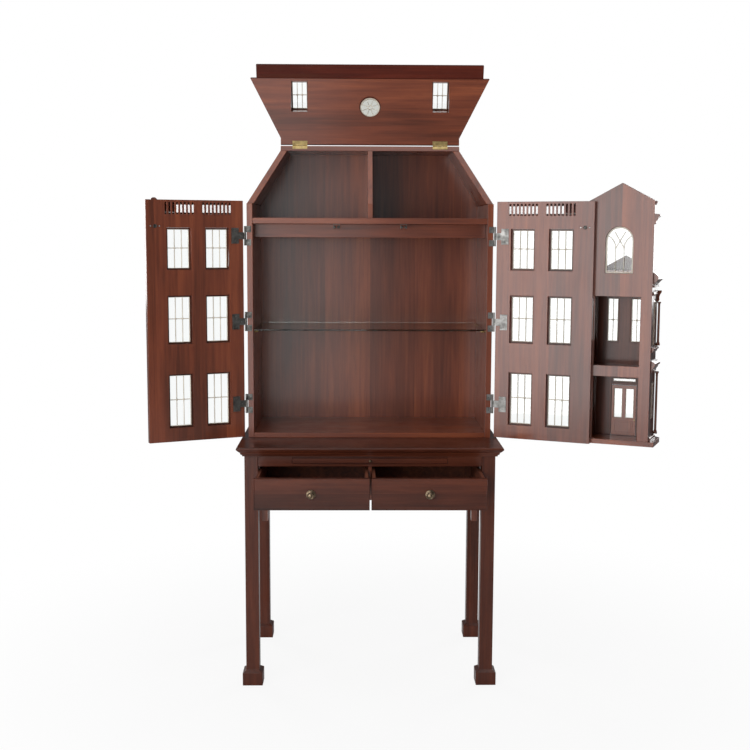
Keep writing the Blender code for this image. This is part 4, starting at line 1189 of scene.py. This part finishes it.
def wire(points, radius, shape):
    """A round bar bent through points."""
    curve = bpy.data.curves.new("bar", "CURVE")
    curve.dimensions = "3D"
    curve.bevel_depth, curve.bevel_resolution = radius, 2
    spline = curve.splines.new("POLY")
    spline.points.add(len(points) - 1)
    for point, place in zip(spline.points, points):
        point.co = (*place, 1)
    holder = bpy.data.objects.new("bar", curve)
    mesh = bpy.data.meshes.new_from_object(holder)
    shape.from_mesh(mesh)
    bpy.data.objects.remove(holder)
    bpy.data.curves.remove(curve)
    bpy.data.meshes.remove(mesh)


def bay_light(name, low, high, back, turn, uprights=1, crossbars=(0.5,), body="right_door"):
    glazed_sash(
        name, low, high, back + 0.0002, body, turn, uprights, crossbars, 0.0034, 0.0020, 0.0052
    )


for side, sign in (("left", -1), ("right", 1)):
    xs = sorted((bay_middle + sign * 0.0168, bay_middle + sign * 0.0527))
    bay_light(f"bay_front_{side}", (xs[0], 1.0073), (xs[1], 1.1397), wall_low.y + 0.001, bay_turn)
side_turn = bay_turn @ Matrix.Translation(
    (wall_low.x, (wall_low.y + BAY_CANT + wall_high.y) / 2, 0)
) @ Matrix.Rotation(-QUARTER, 4, "Z")
for storey, foot, head in (("lower", 0.7903, 0.8997), ("upper", 1.0043, 1.1377)):
    bay_light(
        f"bay_side_{storey}", (-0.0167, foot), (0.0167, head), 0.0008, side_turn,
        0 if storey == "lower" else 1,
    )

arch_middle = bay_middle + ARCH_SHIFT
springing = ARCH_HEAD - ARCH_HALF


def arch_outline(half, foot):
    outline = [(arch_middle - half, foot), (arch_middle + half, foot)]
    return outline + [
        (arch_middle + half * math.cos(math.pi * k / 24), springing + half * math.sin(math.pi * k / 24))
        for k in range(25)
    ]


arch_back = board_low.y + 0.0015
arch_sash = framed(
    arch_outline(ARCH_HALF - 0.0003, ARCH_FOOT + 0.0003), 0.0040, arch_back, arch_back + 0.0048
)
bar_y = arch_back + 0.0026
thirds = (ARCH_HALF - 0.004) / 3
for sign in (-1, 1):
    x = arch_middle + sign * thirds
    half_round_bar((x, bar_y, ARCH_FOOT + 0.002), (x, bar_y, 1.2850), 0.0018, 0.0028, arch_sash)
    boss((x, bar_y, 1.2850), 0.0022, arch_sash)
    for towards in (-1, 1):
        if towards == sign:
            points = [
                (x + sign * 0.020 * t * t, bar_y, 1.2850 + 0.0400 * t - 0.006 * t * t)
                for t in (k / 8 for k in range(9))
            ]
        else:
            points = [
                (x - sign * (0.0330 * t - 0.006 * t * t), bar_y, 1.2850 + 0.0560 * t - 0.010 * t * t)
                for t in (k / 8 for k in range(9))
            ]
        wire(points, TRACERY, arch_sash)
boss((arch_middle, bar_y, 1.3055), 0.0019, arch_sash)
add_piece("bay_arch_sash", arch_sash, ivory, "right_door", turn=bay_turn)
arch_pane = bmesh.new()
section = arch_pane.faces.new([
    arch_pane.verts.new((x, arch_back - 0.0012, z))
    for x, z in arch_outline(ARCH_HALF - 0.002, ARCH_FOOT + 0.002)
])
grown = bmesh.ops.extrude_face_region(arch_pane, geom=[section])
moved = [item for item in grown["geom"] if isinstance(item, bmesh.types.BMVert)]
bmesh.ops.translate(arch_pane, verts=moved, vec=(0, PANE_THICK, 0))
add_piece("bay_arch_pane", arch_pane, pane_glass, "right_door", turn=bay_turn, smooth=False)
arch_trim = framed(
    arch_outline(ARCH_HALF + 0.0065, ARCH_FOOT - 0.002), 0.0065,
    board_low.y - 0.0035, board_low.y - 0.0001,
)
block(
    (arch_middle - ARCH_HALF - 0.011, board_low.y - 0.0085, ARCH_FOOT - 0.0088),
    (arch_middle + ARCH_HALF + 0.011, board_low.y - 0.0001, ARCH_FOOT - 0.0022), arch_trim,
)
block(
    (arch_middle - 0.0045, board_low.y - 0.0060, ARCH_HEAD - 0.001),
    (arch_middle + 0.0045, board_low.y - 0.0036, ARCH_HEAD + 0.009), arch_trim,
)
add_piece(
    "bay_arch_architrave", arch_trim, upright_mahogany, "right_door", turn=bay_turn,
    round_edge=0.0005,
)


# Entrance door.
# A small mahogany door that opens inwards, with two upright lights over a sunk panel, planted
# beads round them, a brass knob on each side, and a transom light above.
finish_cad("entrance_door", upright_mahogany, 0.0004)
leaf_low, leaf_high = shut_box("entrance_door", bay_turn)
for name, face, way in (("inner", leaf_high.y, 1), ("outer", leaf_low.y, -1)):
    beads = ring_frame(
        (leaf_low.x + 0.0048, 0.7812), (leaf_high.x - 0.0048, 0.8728), 0.0020,
        face, face + way * 0.0011,
    )
    ring_frame(
        (leaf_low.x + 0.0085, leaf_low.z + 0.0080), (leaf_high.x - 0.0085, 0.7745), 0.0022,
        face, face + way * 0.0011, beads,
    )
    block(
        (leaf_low.x + 0.0140, min(face, face + way * 0.0008), leaf_low.z + 0.0130),
        (leaf_high.x - 0.0140, max(face, face + way * 0.0008), 0.7695), beads,
    )
    add_piece(
        f"entrance_{name}_mouldings", beads, upright_mahogany, "entrance_door",
        turn=bay_turn, round_edge=0.0003,
    )
entrance_knobs = bmesh.new()
for face, way in ((leaf_high.y, 1), (leaf_low.y, -1)):
    knob = turned((
        (0, 0), (.0022, 0), (.0023, .0004), (.0012, .0008), (.0009, .0020), (.0016, .0030),
        (.0019, .0040), (.0014, .0050), (0, .0053),
    ), 20)
    bmesh.ops.transform(
        knob, verts=knob.verts,
        matrix=facing((leaf_low.x + 0.0035, face + way * 0.0001, 0.7779), (0, way, 0)),
    )
    mesh = bpy.data.meshes.new("knob")
    knob.to_mesh(mesh)
    knob.free()
    entrance_knobs.from_mesh(mesh)
    bpy.data.meshes.remove(mesh)
add_piece("entrance_knobs", entrance_knobs, brass, "entrance_door", turn=bay_turn)
entrance_beads = bmesh.new()
entrance_middle = (leaf_low.x + leaf_high.x) / 2
for side, sign in (("left", -1), ("right", 1)):
    xs = sorted((entrance_middle + sign * 0.0052, entrance_middle + sign * 0.0288))
    ring_frame(
        (xs[0], 0.7832), (xs[1], 0.8708), 0.0014, leaf_low.y + 0.0014, leaf_high.y - 0.0014,
        entrance_beads,
    )
    add_piece(
        f"entrance_pane_{side}",
        pane((xs[0], 0.7832), (xs[1], 0.8708), (leaf_low.y + leaf_high.y) / 2 - 0.0006, 0.0008),
        pane_glass, "entrance_door", turn=bay_turn, smooth=False, round_edge=0.0002,
    )
add_piece("entrance_glazing_bead", entrance_beads, ivory, "entrance_door", turn=bay_turn)
bay_light(
    "bay_transom", (entrance_middle - 0.0366, 0.8883), (entrance_middle + 0.0366, 0.9037),
    wall_low.y + 0.001, bay_turn, 0, (),
)
doorcase = bmesh.new()
for sign in (-1, 1):
    xs = sorted((entrance_middle + sign * 0.0385, entrance_middle + sign * 0.0465))
    block((xs[0], wall_low.y - 0.0040, 0.7306), (xs[1], wall_low.y - 0.0001, 0.9100), doorcase)
    block(
        (xs[0] - 0.0008, wall_low.y - 0.0055, 0.7306),
        (xs[1] + 0.0008, wall_low.y - 0.0001, 0.7400), doorcase,
    )
    block(
        (xs[0] - 0.0008, wall_low.y - 0.0055, 0.9102),
        (xs[1] + 0.0008, wall_low.y - 0.0001, 0.9160), doorcase,
    )
block(
    (entrance_middle - 0.0480, wall_low.y - 0.0050, 0.9162),
    (entrance_middle + 0.0480, wall_low.y - 0.0001, 0.9265), doorcase,
)
add_piece(
    "bay_doorcase", doorcase, upright_mahogany, "right_door", turn=bay_turn,
    round_edge=0.0004,
)


# Roof flap.
# The front slope of the roof is one mahogany board that lifts on two hinges, with a strip under its
# free edge that closes the attic; its grain runs across.
finish_cad("roof_flap", across_mahogany, 0)
# The strip's dark Light and Middle colours are painted shade: its inner face lies in shade under the lifted
# flap.
finish_cad("flap_strip", lacquered_mahogany(
    "mahogany_dark_strip", (0, QUARTER, 0), 0.12, 0.15, Light=(0.130, 0.022, 0.011, 1),
    Middle=(0.070, 0.012, 0.007, 1),
), 0.0010)
flap_turn = opening_turn("roof_flap_hinge")
flap_pin = Vector(joints["roof_flap_hinge"]["pos_m"])
ROOF_ANGLE = math.atan2(0.094, 0.160)
lean, rise = math.sin(ROOF_ANGLE), math.cos(ROOF_ANGLE)
# Slope place: X along the ridge, -Y out of the roof, Z up the slope, from the hinge pin
slope_place = flap_turn @ Matrix.Translation(flap_pin) @ Matrix((
    (1, 0, 0, 0), (0, rise, lean, 0), (0, -lean, rise, 0), (0, 0, 0, 1)
))


# Roof window.
# A round hole through the flap with a turned ivory ring from outside, a hub and eight spokes like
# a wheel, and faintly greyed glass.
ROUND_RADIUS = 0.033
ROUND_DOWN = -0.1191
HUB = 0.0068
round_outline = [
    (
        ROUND_RADIUS * 0.992 * math.cos(math.tau * k / 48),
        ROUND_DOWN + ROUND_RADIUS * 0.992 * math.sin(math.tau * k / 48),
    )
    for k in range(48)
]
add_piece(
    "round_window_rim", framed(round_outline, 0.0030, -0.0104, -0.0030), dark_shaded_upright,
    "roof_flap", turn=slope_place, round_edge=0.0004,
)
wheel = framed(
    [(x * 0.900, ROUND_DOWN + (z - ROUND_DOWN) * 0.900) for x, z in round_outline], 0.0030,
    -0.0100, -0.0050,
)
hub_outline = [
    (HUB * math.cos(math.tau * k / 28), ROUND_DOWN + HUB * math.sin(math.tau * k / 28)) for k in range(28)
]
framed(hub_outline, 0.0017, -0.0085, -0.0050, wheel)
for k in range(8):
    turn = math.tau * (k + 0.5) / 8
    ends = [
        (r * math.cos(turn), -0.0068, ROUND_DOWN + r * math.sin(turn))
        for r in (HUB - 0.0006, ROUND_RADIUS - 0.0050)
    ]
    half_round_bar(ends[0], ends[1], 0.0016, 0.0028, wheel)
add_piece("round_window_wheel", wheel, ivory, "roof_flap", turn=slope_place)
disc = bmesh.new()
bmesh.ops.create_circle(disc, cap_ends=True, segments=48, radius=ROUND_RADIUS - 0.0008)
grown = bmesh.ops.extrude_face_region(disc, geom=disc.faces[:])
moved = [item for item in grown["geom"] if isinstance(item, bmesh.types.BMVert)]
bmesh.ops.translate(disc, verts=moved, vec=(0, 0, PANE_THICK))
bmesh.ops.transform(disc, verts=disc.verts, matrix=facing((0, -0.0114, ROUND_DOWN), (0, 1, 0)))
greyed_glass = clear_glass("greyed_glass", (0.60, 0.61, 0.57), 0.10)
add_piece("round_window_pane", disc, greyed_glass, "roof_flap", turn=slope_place, smooth=False)
ring = framed([
    ((ROUND_RADIUS + 0.006) * math.cos(math.tau * k / 48),
     ROUND_DOWN + (ROUND_RADIUS + 0.006) * math.sin(math.tau * k / 48)) for k in range(48)
], 0.0060, -0.0152, -0.0121)
add_piece(
    "round_window_trim", ring, across_mahogany, "roof_flap", turn=slope_place,
    round_edge=0.0006,
)


# Dormers.
# Two boxed dormers stand out of the flap; each has an upright front with an ivory sash of six
# panes, a sill, pilaster strips and a little pediment.
for side in ("left", "right"):
    finish_cad(f"{side}_dormer", upright_mahogany, 0.0006)
    low, high = shut_box(f"{side}_dormer", flap_turn)
    middle = (low.x + high.x) / 2
    half = (high.x - low.x) / 2
    opening = ((middle - half + 0.0063, low.z + 0.0063), (middle + half - 0.0063, high.z - 0.0063))
    glazed_sash(
        f"{side}_dormer", *opening, low.y + 0.0005, "roof_flap", flap_turn, 2, (0.5,), 0.0022,
        0.0022, 0.0050,
    )
    front = ring_frame(
        (middle - half, low.z), (middle + half, high.z), 0.0062, low.y - 0.0030, low.y - 0.0001
    )
    block(
        (middle - half - 0.002, low.y - 0.0070, low.z + 0.0075),
        (middle + half + 0.002, low.y - 0.0031, low.z + 0.0115), front,
    )
    block(
        (middle - half - 0.003, low.y - 0.0065, high.z + 0.0002),
        (middle + half + 0.003, low.y + 0.020, high.z + 0.0030),
        front,
    )
    gable = [(middle - half - 0.002, high.z + 0.0032), (middle + half + 0.002, high.z + 0.0032),
             (middle, high.z + 0.0165)]
    section = front.faces.new([front.verts.new((x, low.y - 0.0050, z)) for x, z in gable])
    grown = bmesh.ops.extrude_face_region(front, geom=[section])
    moved = [item for item in grown["geom"] if isinstance(item, bmesh.types.BMVert)]
    bmesh.ops.translate(front, verts=moved, vec=(0, 0.022, 0))
    add_piece(
        f"{side}_dormer_front", front, upright_mahogany, "roof_flap", turn=flap_turn,
        round_edge=0.0005,
    )


# Roof hinges.
# Two brass butt hinges let into the edge of the roof and the upper edge of the flap, three
# countersunk screws to a leaf.
for side in ("left", "right"):
    for kind, body in (("fixed", "cabinet"), ("moving", "roof_flap")):
        name = f"{side}_roof_hinge_{kind}_leaf"
        finish_cad(name, brass, 0)
        if kind == "fixed":
            low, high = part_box(name)
            place_on, normal, face = Matrix.Translation(flap_pin) @ Matrix((
                (1, 0, 0, 0), (0, rise, lean, 0), (0, -lean, rise, 0), (0, 0, 0, 1)
            )), (0, -1, 0), 0.0004 + 0.0001
        else:
            low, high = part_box(name)
            place_on, normal, face = slope_place, (0, 1, 0), -0.0004 - 0.0001
        middle = (low.x + high.x) / 2 - flap_pin.x
        screws = bmesh.new()
        for shift in (-0.0150, 0.0, 0.0150):
            screw((middle + shift, face, -0.0082), normal, 0.0021, screws, 0.7 + shift * 40)
        add_piece(
            f"{side}_roof_hinge_{kind}_screws", screws, brass, body, turn=place_on
        )
